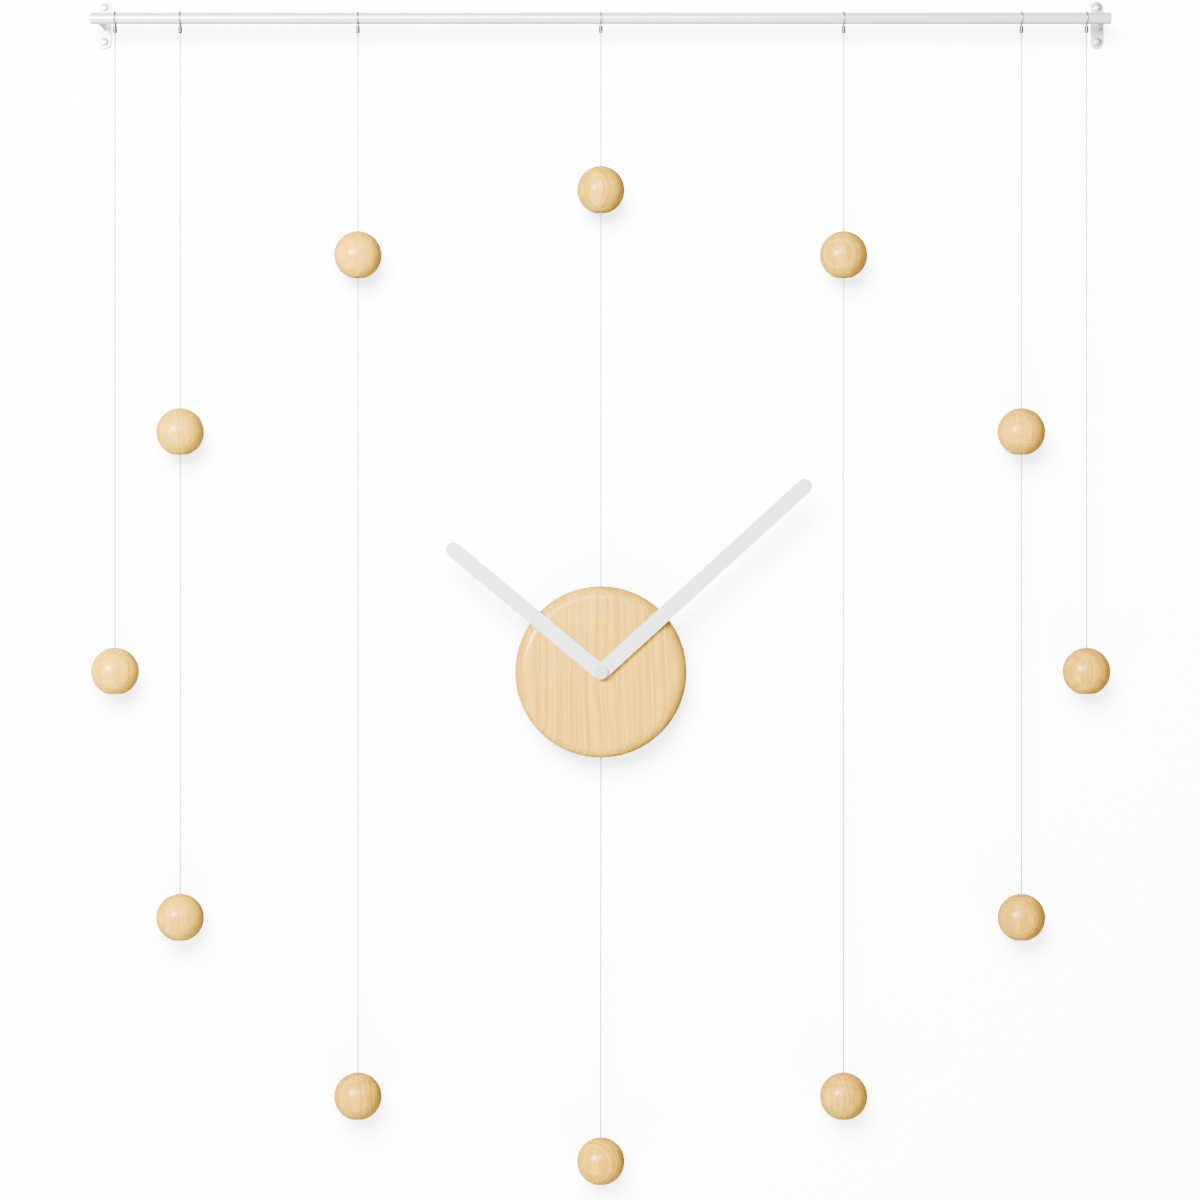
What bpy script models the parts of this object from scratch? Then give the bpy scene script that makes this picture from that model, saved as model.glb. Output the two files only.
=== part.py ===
"""Wall clock made of wooden balls on hanging wires, with a wooden disc that holds a quartz movement.

Frame: metres. The origin is on the wall, midway between the brackets, level with the rod's axis.
+X is to the right as the clock is looked at, +Y goes into the wall and +Z is up.
The clock stands at Y < 0.
"""

import math

import bmesh
import bpy
from mathutils import Matrix, Vector

# ---------------------------------------------------------------- driving sizes

GAP = 0.0003                # what pieces that touch keep between them
FACES_SMALL = 10            # sides of a small pin or bore
FACES_LARGE = 20            # sides of a ring or a neck

ROD_RADIUS = 0.0042
ROD_CHAMFER = 0.0005
ROD_OVERHANG = 0.018        # rod beyond the outermost wires
WALL_DISTANCE = 0.028       # from the wall to the rod's axis

BRACKET_WIDTH = 0.0094
BRACKET_HEIGHT = 0.035
BRACKET_THICKNESS = 0.002
BRACKET_INSET = 0.0014      # from the rod's end to the plate's outer edge
SCREW_PITCH = 0.0256
ARM_THICKNESS = 0.0015
ARM_HEIGHT = 0.0080
SADDLE_DEPTH = 0.0012       # how far the arm reaches round the rod

WALL_SCREW_RADIUS = 0.0015
WALL_SCREW_LENGTH = 0.020
WALL_SCREW_HEAD_RADIUS = 0.00295
WALL_SCREW_HEAD_HEIGHT = 0.0016
SCREW_HOLE_CLEARANCE = 0.0004
RECESS_WIDTH = 0.0007       # cross recess of a wall screw

WIRE_RADIUS = 0.0005
LOOP_CLEARANCE = 0.00035    # between the rod and the wire over it
LOOP_LEAVE = math.radians(28)   # from straight down to where the wire leaves the rod
FERRULE_DROP = 0.0010       # from the rod to the ferrule
FERRULE_LENGTH = 0.0056
FERRULE_WIDTH = 0.0031
FERRULE_DEPTH = 0.0041
STOP_RADIUS = 0.0014
STOP_LENGTH = 0.003
STOP_TAIL = 0.0008          # wire end that stands out below the last stop

BALL_RADIUS = 0.0175
BALL_FLAT_RADIUS = 0.0056
BALL_BORE_RADIUS = WIRE_RADIUS + GAP
COUNTERBORE_RADIUS = 0.0034
COUNTERBORE_DEPTH = 0.006

RING_RADIUS = 0.357
TOP_BALL_DROP = 0.1261      # from the rod's axis to the ball at twelve
# Lines are crimped by hand, so some pieces hang a little above their place on the true ring.
RAISED = {3: 0.0031, 9: 0.0031, 2: 0.0007, 4: 0.0007, 8: 0.0007, 10: 0.0007}
DISC_RAISED = 0.0028

DISC_RADIUS = 0.063
DISC_THICKNESS = 0.024
DISC_EDGE = 0.0095          # radius of the rounded rim
WEB_THICKNESS = 0.007       # wood in front of the pocket
DISC_BORE_RADIUS = WIRE_RADIUS + GAP
POCKET_CLEARANCE = 0.0005
STOP_SLOT_WIDTH = 0.008
STOP_SLOT_MARGIN = 0.0080   # from the movement to the end of the slot

HAND_WIDTH = 0.0112
HAND_THICKNESS = 0.0006
HOUR_REACH = 0.1456
MINUTE_REACH = 0.2070
HOUR_ANGLE = math.radians(-50.3)
MINUTE_ANGLE = math.radians(47.6)
HOUR_HAND_STANDOFF = 0.0012     # disc front to hand
HAND_STANDOFF = 0.0014          # hour hand to minute hand
CAP_RADIUS = 0.0052
CAP_HEIGHT = 0.0018
CAP_EDGE = 0.0005

CASE_SIZE = 0.056
CASE_DEPTH = 0.0155
CASE_WALL = 0.0012
CASE_CORNER = 0.003
EAR_LENGTH = 0.008
EAR_WIDTH = 0.008
EAR_THICKNESS = 0.002
EAR_SCREW_RADIUS = 0.0011
EAR_SCREW_LENGTH = 0.0055
EAR_SCREW_HEAD_RADIUS = 0.0021
EAR_SCREW_HEAD_HEIGHT = 0.0013
EAR_RECESS_WIDTH = 0.0005
POST_RADIUS = 0.0012        # posts under the middle plate
REST_RADIUS = 0.0010        # rests on the cover that hold the board and the yoke
NECK_RADIUS = 0.0040
NECK_BORE = 0.0029
HOUR_PIPE_RADIUS = 0.0025
HOUR_PIPE_BORE = 0.0018
MINUTE_PIPE_RADIUS = 0.0014
MINUTE_PIPE_BORE = 0.00075
ARBOR_RADIUS = 0.0004
SETTING_ARBOR_RADIUS = 0.0006
SETTING_ARBOR_REACH = 0.002     # behind the cover, into the knob
PIVOT_CLEARANCE = 0.0002
PIVOT_DEPTH = 0.0007

WHEEL_THICKNESS = 0.0009
LAYER_SPACE = 0.0006
PLATE_THICKNESS = 0.0010
MAGNET_RADIUS = 0.003
MAGNET_LENGTH = 0.0020
STATOR_THICKNESS = 0.0008
COIL_RADIUS = 0.0024
COIL_LENGTH = 0.012
COIL_BORE = 0.00125
CORE_THICKNESS = 0.0007
CORE_HEIGHT = 0.0018
BATTERY_RADIUS = 0.0071
BATTERY_LENGTH = 0.0490
BATTERY_NUB_RADIUS = 0.0028
BATTERY_NUB_LENGTH = 0.0012
BATTERY_DROP = 0.0193       # battery axis below the hand shaft
CONTACT_THICKNESS = 0.0004
CONTACT_WIDTH = 0.009
BOARD_SIZE = (0.012, 0.017)
BOARD_THICKNESS = 0.001
CRYSTAL_RADIUS = 0.001
CRYSTAL_LENGTH = 0.006
KNOB_RADIUS = 0.0045
KNOB_HEIGHT = 0.0030
KNOB_FLUTES = 12

# Tooth form, in modules: addendum, dedendum, tip width and root width.
WHEEL_TOOTH = (0.8, 1.2, 0.45, 1.6)
PINION_TOOTH = (0.7, 1.2, 0.5, 1.3)

# Teeth of each mesh, driving pinion first.
ROTOR_TEETH, INTERMEDIATE_TEETH = 6, 36
INTERMEDIATE_PINION, FOURTH_TEETH = 6, 30
FOURTH_PINION, THIRD_TEETH = 6, 45
THIRD_PINION, CENTRE_TEETH = 6, 48
CANNON_TEETH, MINUTE_TEETH = 8, 24
MINUTE_PINION, HOUR_TEETH = 6, 24

# Centre distance of each pair of axes, and the direction of its line, anticlockwise from +X.
CENTRE_TO_THIRD, THIRD_DIRECTION = 0.00945, math.radians(150)
CENTRE_TO_INTERMEDIATE, INTERMEDIATE_DIRECTION = 0.00756, math.radians(60)
INTERMEDIATE_TO_ROTOR, ROTOR_DIRECTION = 0.0063, math.radians(80)
CENTRE_TO_MINUTE, MINUTE_DIRECTION = 0.0100, math.radians(0)

# ---------------------------------------------------------------- places that follow from them

ROD_LENGTH = 2 * (RING_RADIUS + ROD_OVERHANG)
RING_CENTRE_DROP = TOP_BALL_DROP + RING_RADIUS     # ring centre below the rod's axis
LINE_Y = -WALL_DISTANCE
FERRULE_TOP = ROD_RADIUS + FERRULE_DROP
FERRULE_BOTTOM = FERRULE_TOP + FERRULE_LENGTH
SWAY_Z = -(FERRULE_BOTTOM + GAP)            # where a line bends sideways under its ferrule

DISC_Z = -RING_CENTRE_DROP + DISC_RAISED
DISC_FRONT = LINE_Y - DISC_THICKNESS / 2
DISC_BACK = LINE_Y + DISC_THICKNESS / 2
POCKET_FLOOR = DISC_FRONT + WEB_THICKNESS
DISC_EXIT_Z = DISC_Z - DISC_RADIUS          # where the lower wire leaves the disc
STOP_SLOT_REACH = CASE_SIZE / 2 + STOP_SLOT_MARGIN      # from the disc's centre

CASE_FRONT = POCKET_FLOOR + GAP
CASE_BACK = CASE_FRONT + CASE_DEPTH
INSIDE_FRONT = CASE_FRONT + CASE_WALL
INSIDE_BACK = CASE_BACK - CASE_WALL
TRAY_END = INSIDE_BACK - GAP
INSIDE_HALF = CASE_SIZE / 2 - CASE_WALL

LAYER = WHEEL_THICKNESS + LAYER_SPACE
HOUR_LAYER = INSIDE_FRONT + LAYER_SPACE * 2 / 3
MINUTE_LAYER = HOUR_LAYER + LAYER
CENTRE_LAYER = MINUTE_LAYER + LAYER
MIDDLE_PLATE = CENTRE_LAYER + WHEEL_THICKNESS + GAP
THIRD_LAYER = MIDDLE_PLATE + PLATE_THICKNESS + GAP
FOURTH_LAYER = THIRD_LAYER + LAYER
INTERMEDIATE_LAYER = FOURTH_LAYER + LAYER
MAGNET_START = INTERMEDIATE_LAYER + WHEEL_THICKNESS + 0.0005
STATOR_FRONT = MAGNET_START + (MAGNET_LENGTH - STATOR_THICKNESS) / 2
CORE_BACK = STATOR_FRONT - GAP
COIL_Y = CORE_BACK - CORE_THICKNESS / 2
BOARD_BACK = STATOR_FRONT + STATOR_THICKNESS
BOARD_FRONT = BOARD_BACK - BOARD_THICKNESS

HOUR_HAND_BACK = DISC_FRONT - HOUR_HAND_STANDOFF
HOUR_HAND_FRONT = HOUR_HAND_BACK - HAND_THICKNESS
MINUTE_HAND_BACK = HOUR_HAND_FRONT - HAND_STANDOFF
MINUTE_HAND_FRONT = MINUTE_HAND_BACK - HAND_THICKNESS
CAP_BACK = MINUTE_HAND_FRONT - GAP
HOUR_PIPE_END = HOUR_HAND_FRONT - GAP
MINUTE_PIPE_END = CAP_BACK - 0.0006
NECK_END = DISC_FRONT + GAP

HOURS = range(1, 13)


def ring_x(hour):
    return RING_RADIUS * math.sin(hour * math.pi / 6)


def ball_z(hour):
    return -RING_CENTRE_DROP + RING_RADIUS * math.cos(hour * math.pi / 6) + RAISED.get(hour, 0)


# Each line is named by its upper ball's hour, and lists its balls from the top.
LINES = {9: (9,), 10: (10, 8), 11: (11, 7), 12: (12,), 1: (1, 5), 2: (2, 4), 3: (3,)}


def beside(point, distance, direction):
    """A point at a distance and direction from another, both in the plane of the disc."""
    return point[0] + distance * math.cos(direction), point[1] + distance * math.sin(direction)


SHAFT = (0.0, DISC_Z)
THIRD_AXIS = beside(SHAFT, CENTRE_TO_THIRD, THIRD_DIRECTION)
INTERMEDIATE_AXIS = beside(SHAFT, CENTRE_TO_INTERMEDIATE, INTERMEDIATE_DIRECTION)
ROTOR_AXIS = beside(INTERMEDIATE_AXIS, INTERMEDIATE_TO_ROTOR, ROTOR_DIRECTION)
MINUTE_AXIS = beside(SHAFT, CENTRE_TO_MINUTE, MINUTE_DIRECTION)
COIL_CENTRE = (0.002, DISC_Z + 0.0215)
BOARD_CENTRE = (-0.019, DISC_Z + 0.0165)
BATTERY_Y = INSIDE_FRONT + GAP + BATTERY_RADIUS
STATOR_LEFT, STATOR_RIGHT = -0.010, 0.014
STATOR_BOTTOM, STATOR_TOP = DISC_Z + 0.0085, DISC_Z + 0.0250
PLATE_LEFT, PLATE_RIGHT = -0.017, 0.018
PLATE_BOTTOM, PLATE_TOP = DISC_Z - 0.0115, DISC_Z + 0.015
PLATE_POSTS = [
    (PLATE_LEFT + 0.0015, PLATE_BOTTOM + 0.0015),
    (PLATE_RIGHT - 0.0015, PLATE_BOTTOM + 0.0015),
    (PLATE_LEFT + 0.0015, PLATE_TOP - 0.0015),
    (PLATE_RIGHT - 0.0015, PLATE_TOP - 0.0015),
]

# ---------------------------------------------------------------- scene, collections, materials


def clear_scene():
    for thing in list(bpy.data.objects):
        bpy.data.objects.remove(thing, do_unlink=True)


def new_collection(name):
    found = bpy.data.collections.new(name)
    bpy.context.scene.collection.children.link(found)
    return found


def new_material(name, colour, roughness, metallic=0.0):
    made = bpy.data.materials.new(name)
    made.use_nodes = True
    shader = made.node_tree.nodes["Principled BSDF"]
    shader.inputs["Base Color"].default_value = (*colour, 1.0)
    shader.inputs["Roughness"].default_value = roughness
    shader.inputs["Metallic"].default_value = metallic
    return made


clear_scene()
PARTS = new_collection("ball_clock")
CUTTERS = new_collection("cutters")

COATED = new_material("coated_steel", (0.62, 0.62, 0.62), 0.42)
ZINC = new_material("zinc_screw", (0.70, 0.70, 0.71), 0.30, 1.0)
CHROME = new_material("chrome_ferrule", (0.80, 0.80, 0.81), 0.12, 1.0)
WIRE = new_material("steel_wire", (0.66, 0.67, 0.69), 0.28, 1.0)
BEECH = new_material("beech", (0.72, 0.50, 0.24), 0.38)
HAND = new_material("hand_lacquer", (0.80, 0.80, 0.79), 0.35)
CASE = new_material("case_plastic", (0.03, 0.03, 0.032), 0.50)
GEAR = new_material("gear_plastic", (0.85, 0.84, 0.80), 0.45)
BRASS = new_material("brass", (0.78, 0.58, 0.26), 0.30, 1.0)
MAGNET = new_material("magnet", (0.25, 0.25, 0.26), 0.40, 1.0)
IRON = new_material("soft_iron", (0.55, 0.55, 0.56), 0.35, 1.0)
COPPER = new_material("copper_winding", (0.72, 0.32, 0.14), 0.35, 1.0)
BOARD = new_material("circuit_board", (0.05, 0.22, 0.10), 0.45)
CELL = new_material("battery_sleeve", (0.10, 0.22, 0.42), 0.35)

# ---------------------------------------------------------------- making and joining shapes


def put(thing, material=None):
    """Links a piece into the parts' collection, or a cutter into its own."""
    if material is None:
        CUTTERS.objects.link(thing)
        thing.hide_render = True
        thing.display_type = "WIRE"
    else:
        PARTS.objects.link(thing)
        thing.data.materials.append(material)
    return thing


def smooth(mesh, degrees=40):
    mesh.shade_smooth()
    mesh.set_sharp_from_angle(angle=math.radians(degrees))


def mesh_object(name, shape, origin, material):
    """An object from a bmesh built in world space, with its origin moved to a given point."""
    bmesh.ops.translate(shape, vec=-Vector(origin), verts=shape.verts)
    mesh = bpy.data.meshes.new(name)
    shape.to_mesh(mesh)
    shape.free()
    thing = bpy.data.objects.new(name, mesh)
    thing.location = origin
    return put(thing, material)


def block(name, low, high, material=None):
    """A box between two corners."""
    low, high = Vector(low), Vector(high)
    shape = bmesh.new()
    bmesh.ops.create_cube(shape, size=1.0)
    bmesh.ops.scale(shape, vec=high - low, verts=shape.verts)
    bmesh.ops.translate(shape, vec=(low + high) / 2, verts=shape.verts)
    return mesh_object(name, shape, (low + high) / 2, material)


def cylinder(name, radius, start, end, sides=FACES_SMALL, material=None):
    """A round bar from one point to another."""
    start, end = Vector(start), Vector(end)
    along = end - start
    shape = bmesh.new()
    bmesh.ops.create_cone(
        shape, cap_ends=True, segments=sides, radius1=radius, radius2=radius, depth=along.length
    )
    turn = Vector((0, 0, 1)).rotation_difference(along).to_matrix()
    bmesh.ops.rotate(shape, matrix=turn, verts=shape.verts)
    bmesh.ops.translate(shape, vec=(start + end) / 2, verts=shape.verts)
    thing = mesh_object(name, shape, (start + end) / 2, material)
    smooth(thing.data)
    return thing


def pin(name, radius, at, front, back, sides=FACES_SMALL, material=None):
    """A round bar along Y at (x, z)."""
    return cylinder(name, radius, (at[0], front, at[1]), (at[0], back, at[1]), sides, material)


def turned(name, profile, steps, at, material=None, forward=False):
    """A solid turned round Z, or round the line towards the viewer, from (radius, height) points."""
    mesh = bpy.data.meshes.new(name)
    shape = bmesh.new()
    corners = [shape.verts.new((radius, 0, height)) for radius, height in profile]
    for one, other in zip(corners, corners[1:]):
        shape.edges.new((one, other))
    if profile[0][0] > 0:
        shape.edges.new((corners[-1], corners[0]))
    shape.to_mesh(mesh)
    shape.free()
    thing = bpy.data.objects.new(name, mesh)
    thing.location = at
    if forward:
        thing.rotation_euler = (math.pi / 2, 0, 0)
    screw = thing.modifiers.new("turn", "SCREW")
    screw.axis = "Z"
    screw.steps = steps
    screw.render_steps = steps
    screw.use_merge_vertices = True
    screw.merge_threshold = 0.00001
    screw.use_smooth_shade = True
    return put(thing, material)


def as_mesh(curve_object, material):
    """Turns a curve object into a mesh object with welded caps, and removes the curve."""
    bpy.context.view_layer.update()
    graph = bpy.context.evaluated_depsgraph_get()
    mesh = bpy.data.meshes.new_from_object(curve_object.evaluated_get(graph))
    shape = bmesh.new()
    shape.from_mesh(mesh)
    bmesh.ops.remove_doubles(shape, verts=shape.verts, dist=0.000001)
    shape.to_mesh(mesh)
    shape.free()
    mesh.materials.clear()
    name, matrix = curve_object.name, curve_object.matrix_world.copy()
    bpy.data.objects.remove(curve_object, do_unlink=True)
    thing = bpy.data.objects.new(name, mesh)
    thing.matrix_world = matrix
    return put(thing, material)


def flat(name, points, front, back, material=None, holes=()):
    """A plate with an outline in the plane of the disc, from its front to its back Y."""
    curve = bpy.data.curves.new(name, "CURVE")
    curve.dimensions = "2D"
    curve.fill_mode = "BOTH"
    curve.extrude = (back - front) / 2
    for ring in (points, *holes):
        spline = curve.splines.new("POLY")
        spline.points.add(len(ring) - 1)
        for corner, (x, z) in zip(spline.points, ring):
            corner.co = (x, z - DISC_Z, 0, 1)
        spline.use_cyclic_u = True
    thing = bpy.data.objects.new(name, curve)
    thing.location = (0, (front + back) / 2, DISC_Z)
    thing.rotation_euler = (math.pi / 2, 0, 0)
    bpy.context.scene.collection.objects.link(thing)
    return as_mesh(thing, material)


def round_outline(radius, at, sides):
    return [beside(at, radius, 2 * math.pi * k / sides) for k in range(sides)]


def arc(centre, radius, start, end, steps):
    """Points on an arc, angles anticlockwise from the first axis."""
    return [
        (
            centre[0] + radius * math.cos(start + (end - start) * k / steps),
            centre[1] + radius * math.sin(start + (end - start) * k / steps),
        )
        for k in range(steps + 1)
    ]


def tube(name, points, radius, material=None, fatness=None):
    """A wire through the points. fatness gives each point's share of the radius."""
    curve = bpy.data.curves.new(name, "CURVE")
    curve.dimensions = "3D"
    curve.bevel_depth = radius
    curve.bevel_resolution = 2
    curve.use_fill_caps = True
    spline = curve.splines.new("POLY")
    spline.points.add(len(points) - 1)
    origin = Vector(points[0])
    for k, (corner, point) in enumerate(zip(spline.points, points)):
        corner.co = (*(Vector(point) - origin), 1)
        corner.radius = fatness[k] if fatness else 1
    thing = bpy.data.objects.new(name, curve)
    thing.location = origin
    if material is None:
        bpy.context.scene.collection.objects.link(thing)
        return as_mesh(thing, None)
    return put(thing, material)


def boolean(thing, tool, operation):
    change = thing.modifiers.new(tool.name, "BOOLEAN")
    change.operation = operation
    change.object = tool
    change.solver = "EXACT"


def cut(thing, *tools):
    for tool in tools:
        boolean(thing, tool, "DIFFERENCE")


def join(thing, *tools):
    for tool in tools:
        boolean(thing, tool, "UNION")


def axis_empty(name, at, parent=None):
    """An empty on a joint's axis, which the pieces that move there hang on."""
    empty = bpy.data.objects.new(name, None)
    empty.empty_display_size = 0.01
    PARTS.objects.link(empty)
    empty.location = at
    if parent:
        hang(parent, empty)
    return empty


def hang(parent, *things):
    """Parents pieces and leaves them where they are in the world."""
    bpy.context.view_layer.update()
    for thing in things:
        thing.parent = parent
        thing.matrix_parent_inverse = parent.matrix_world.inverted()


# ---------------------------------------------------------------- hanger


def make_rod():
    end = ROD_LENGTH / 2
    rim = ROD_RADIUS - ROD_CHAMFER
    profile = [(0, end), (rim, end), (ROD_RADIUS, end - ROD_CHAMFER)]
    profile += [(radius, -height) for radius, height in reversed(profile)]
    rod = turned("rod", profile, 24, (0, LINE_Y, 0), COATED)
    rod.rotation_euler = (0, math.pi / 2, 0)
    return rod


def make_bracket(side, name):
    """A plate with round ends, and an arm on edge that ends in a saddle for the rod."""
    x = side * (ROD_LENGTH / 2 - BRACKET_INSET - BRACKET_WIDTH / 2)
    half = BRACKET_HEIGHT / 2 - BRACKET_WIDTH / 2
    outline = arc((x, half), BRACKET_WIDTH / 2, 0, math.pi, 8)
    outline += arc((x, -half), BRACKET_WIDTH / 2, math.pi, 2 * math.pi, 8)
    hole_radius = WALL_SCREW_RADIUS + SCREW_HOLE_CLEARANCE
    heights = {"top": SCREW_PITCH / 2, "bottom": -SCREW_PITCH / 2}
    holes = [round_outline(hole_radius, (x, z), 16) for z in heights.values()]
    bracket = flat(f"bracket_{name}", outline, -BRACKET_THICKNESS, 0, COATED, holes)
    arm = block(
        f"arm_{name}",
        (x - ARM_THICKNESS / 2, LINE_Y + ROD_RADIUS - SADDLE_DEPTH, -ARM_HEIGHT / 2),
        (x + ARM_THICKNESS / 2, -BRACKET_THICKNESS / 2, ARM_HEIGHT / 2),
    )
    join(bracket, arm)
    reach = ARM_THICKNESS * 2
    saddle = cylinder(
        f"saddle_{name}", ROD_RADIUS + GAP, (x - reach, LINE_Y, 0), (x + reach, LINE_Y, 0), 24
    )
    cut(bracket, saddle)
    for place, z in heights.items():
        make_wall_screw(f"wall_screw_{name}_{place}", (x, -BRACKET_THICKNESS - GAP, z))


def cross_recess(name, at, width, reach, depth):
    """Two crossed slots sunk into a screw head, with their mouth facing the viewer or the wall."""
    x, y, z = at
    low, high = min(y, y + depth), max(y, y + depth)
    upright = block(f"{name}_slot", (x - width / 2, low, z - reach), (x + width / 2, high, z + reach))
    level = block(f"{name}_cross", (x - reach, low, z - width / 2), (x + reach, high, z + width / 2))
    return upright, level


def make_wall_screw(name, seat):
    """A screw whose head sits at the seat and faces the viewer."""
    head, height, shank = WALL_SCREW_HEAD_RADIUS, WALL_SCREW_HEAD_HEIGHT, WALL_SCREW_RADIUS
    profile = [
        (0, height),
        (head * 0.62, height * 0.82),
        (head * 0.93, height * 0.42),
        (head, 0),
        (shank, 0),
        (shank, -WALL_SCREW_LENGTH + 2 * shank),
        (0, -WALL_SCREW_LENGTH),
    ]
    screw = turned(name, profile, 12, seat, ZINC, forward=True)
    recess_top = seat[1] - 2 * height
    for slot in cross_recess(name, (seat[0], recess_top, seat[2]), RECESS_WIDTH, head * 0.6, 1.45 * height):
        cut(screw, slot)
    return screw


# ---------------------------------------------------------------- lines and balls


def loop_points(x):
    """The wire over the rod: up from inside the ferrule, round the rod and down again."""
    radius = ROD_RADIUS + LOOP_CLEARANCE + WIRE_RADIUS
    strand = WIRE_RADIUS + GAP / 2
    side = [
        (strand, -FERRULE_TOP - 0.001),
        (strand, -FERRULE_TOP - 0.0001),
        (strand + 0.00045, -radius - 0.0001),
    ]
    steps = 9
    ring = arc((0, 0), radius, LOOP_LEAVE - math.pi / 2, math.pi * 1.5 - LOOP_LEAVE, steps)
    path = side + ring + [(-across, z) for across, z in reversed(side)]
    return [(x, LINE_Y + across, z) for across, z in path]


def make_eye(line):
    """The loop over the rod with the ferrule crimped round its two ends."""
    x = ring_x(line)
    eye = cylinder(
        f"eye_{line}",
        FERRULE_WIDTH / 2,
        (x, LINE_Y, -FERRULE_BOTTOM),
        (x, LINE_Y, -FERRULE_TOP),
        material=CHROME,
    )
    eye.scale = (1, FERRULE_DEPTH / FERRULE_WIDTH, 1)
    join(eye, tube(f"loop_{line}", loop_points(x), WIRE_RADIUS))
    return eye


def stop_below(z):
    """Heights and fatness of the wire's points at a stop that a ball rests on, from the top."""
    fat = STOP_RADIUS / WIRE_RADIUS
    return [(z, 1), (z - 0.0001, fat), (z - STOP_LENGTH, fat), (z - STOP_LENGTH - 0.0001, 1)]


def stop_height(hour):
    """The top of the stop in a ball's counterbore."""
    flat_drop = math.sqrt(BALL_RADIUS**2 - BALL_FLAT_RADIUS**2)
    return ball_z(hour) - flat_drop + COUNTERBORE_DEPTH - GAP


def make_wire(name, x, top, heights):
    """A straight wire from its top down through its stops, given by (height, fatness) points."""
    points = [(x, LINE_Y, z) for z, _ in [(top, 1), *heights]]
    return tube(name, points, WIRE_RADIUS, WIRE, [1] + [fat for _, fat in heights])


def make_ball(hour):
    flat_drop = math.sqrt(BALL_RADIUS**2 - BALL_FLAT_RADIUS**2)
    top = math.asin(BALL_BORE_RADIUS / BALL_RADIUS)
    bottom = math.pi - math.asin(BALL_FLAT_RADIUS / BALL_RADIUS)
    steps = 8
    profile = [
        (
            BALL_RADIUS * math.sin(top + (bottom - top) * k / steps),
            BALL_RADIUS * math.cos(top + (bottom - top) * k / steps),
        )
        for k in range(steps + 1)
    ]
    ceiling = -flat_drop + COUNTERBORE_DEPTH
    profile += [(COUNTERBORE_RADIUS, -flat_drop), (COUNTERBORE_RADIUS, ceiling)]
    profile += [(BALL_BORE_RADIUS, ceiling)]
    return turned(f"ball_{hour}", profile, 16, (ring_x(hour), LINE_Y, ball_z(hour)), BEECH)


def make_line(line):
    """One hanging line: its loop swings on the rod and the line sways under the ferrule."""
    x = ring_x(line)
    swing = axis_empty(f"swing_axis_{line}", (x, LINE_Y, 0))
    sway = axis_empty(f"sway_axis_{line}", (x, LINE_Y, SWAY_Z), swing)
    hang(swing, make_eye(line))
    heights = [point for hour in LINES[line] for point in stop_below(stop_height(hour))]
    if line == 12:
        heights += stop_below(DISC_Z + STOP_SLOT_REACH - GAP)
    heights.append((heights[-1][0] - STOP_TAIL, 1))
    hang(sway, make_wire(f"wire_{line}", x, SWAY_Z, heights))
    hang(sway, *[make_ball(hour) for hour in LINES[line]])
    return sway


def make_tail(disc_axis):
    """The wire below the disc with its ball, and the anchor that holds it in the pocket."""
    tail = axis_empty("tail_axis_6", (0, LINE_Y, DISC_EXIT_Z), disc_axis)
    anchor_top = DISC_Z - STOP_SLOT_REACH + GAP + STOP_LENGTH
    heights = [*stop_below(anchor_top), (DISC_EXIT_Z + GAP, 1)]
    hang(disc_axis, make_wire("anchor_6", 0, anchor_top + STOP_TAIL, heights))
    heights = stop_below(stop_height(6))
    heights.append((heights[-1][0] - STOP_TAIL, 1))
    hang(tail, make_wire("wire_6", 0, DISC_EXIT_Z, heights), make_ball(6))


# ---------------------------------------------------------------- disc and hands


def make_disc():
    back, edge = DISC_THICKNESS / 2, DISC_EDGE
    inner = DISC_RADIUS - edge
    profile = [(0, back)]
    profile += [(r, z) for r, z in arc((inner, back - edge), edge, math.pi / 2, 0, 4)]
    profile += [(r, z) for r, z in arc((inner, edge - back), edge, 0, -math.pi / 2, 4)]
    profile += [(0, -back)]
    disc = turned("disc", profile, 40, (0, LINE_Y, DISC_Z), BEECH, forward=True)
    deep = DISC_BACK + edge
    half = CASE_SIZE / 2 + POCKET_CLEARANCE
    ear = half + EAR_LENGTH
    slot = STOP_SLOT_WIDTH / 2
    ear_half = EAR_WIDTH / 2 + POCKET_CLEARANCE
    pocket = block("pocket", (-half, POCKET_FLOOR, DISC_Z - half), (half, deep, DISC_Z + half))
    ears = block("ear_slot", (-ear, POCKET_FLOOR, DISC_Z - ear_half), (ear, deep, DISC_Z + ear_half))
    stops = block(
        "stop_slot",
        (-slot, LINE_Y - slot, DISC_Z - STOP_SLOT_REACH),
        (slot, deep, DISC_Z + STOP_SLOT_REACH),
    )
    neck = pin("neck_hole", NECK_RADIUS + GAP, SHAFT, DISC_FRONT - edge, POCKET_FLOOR + edge, FACES_LARGE)
    bore = cylinder(
        "wire_bore",
        DISC_BORE_RADIUS,
        (0, LINE_Y, DISC_Z - 1.1 * DISC_RADIUS),
        (0, LINE_Y, DISC_Z + 1.1 * DISC_RADIUS),
    )
    cut(disc, pocket, ears, stops, neck, bore)
    for side, name in ((-1, "left"), (1, "right")):
        x = side * (CASE_SIZE + EAR_LENGTH) / 2
        end = POCKET_FLOOR - EAR_SCREW_LENGTH + EAR_THICKNESS - 2 * GAP
        cut(disc, pin(f"ear_pilot_{name}", EAR_SCREW_RADIUS + GAP, (x, DISC_Z), end, POCKET_FLOOR + edge))
    return disc


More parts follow.
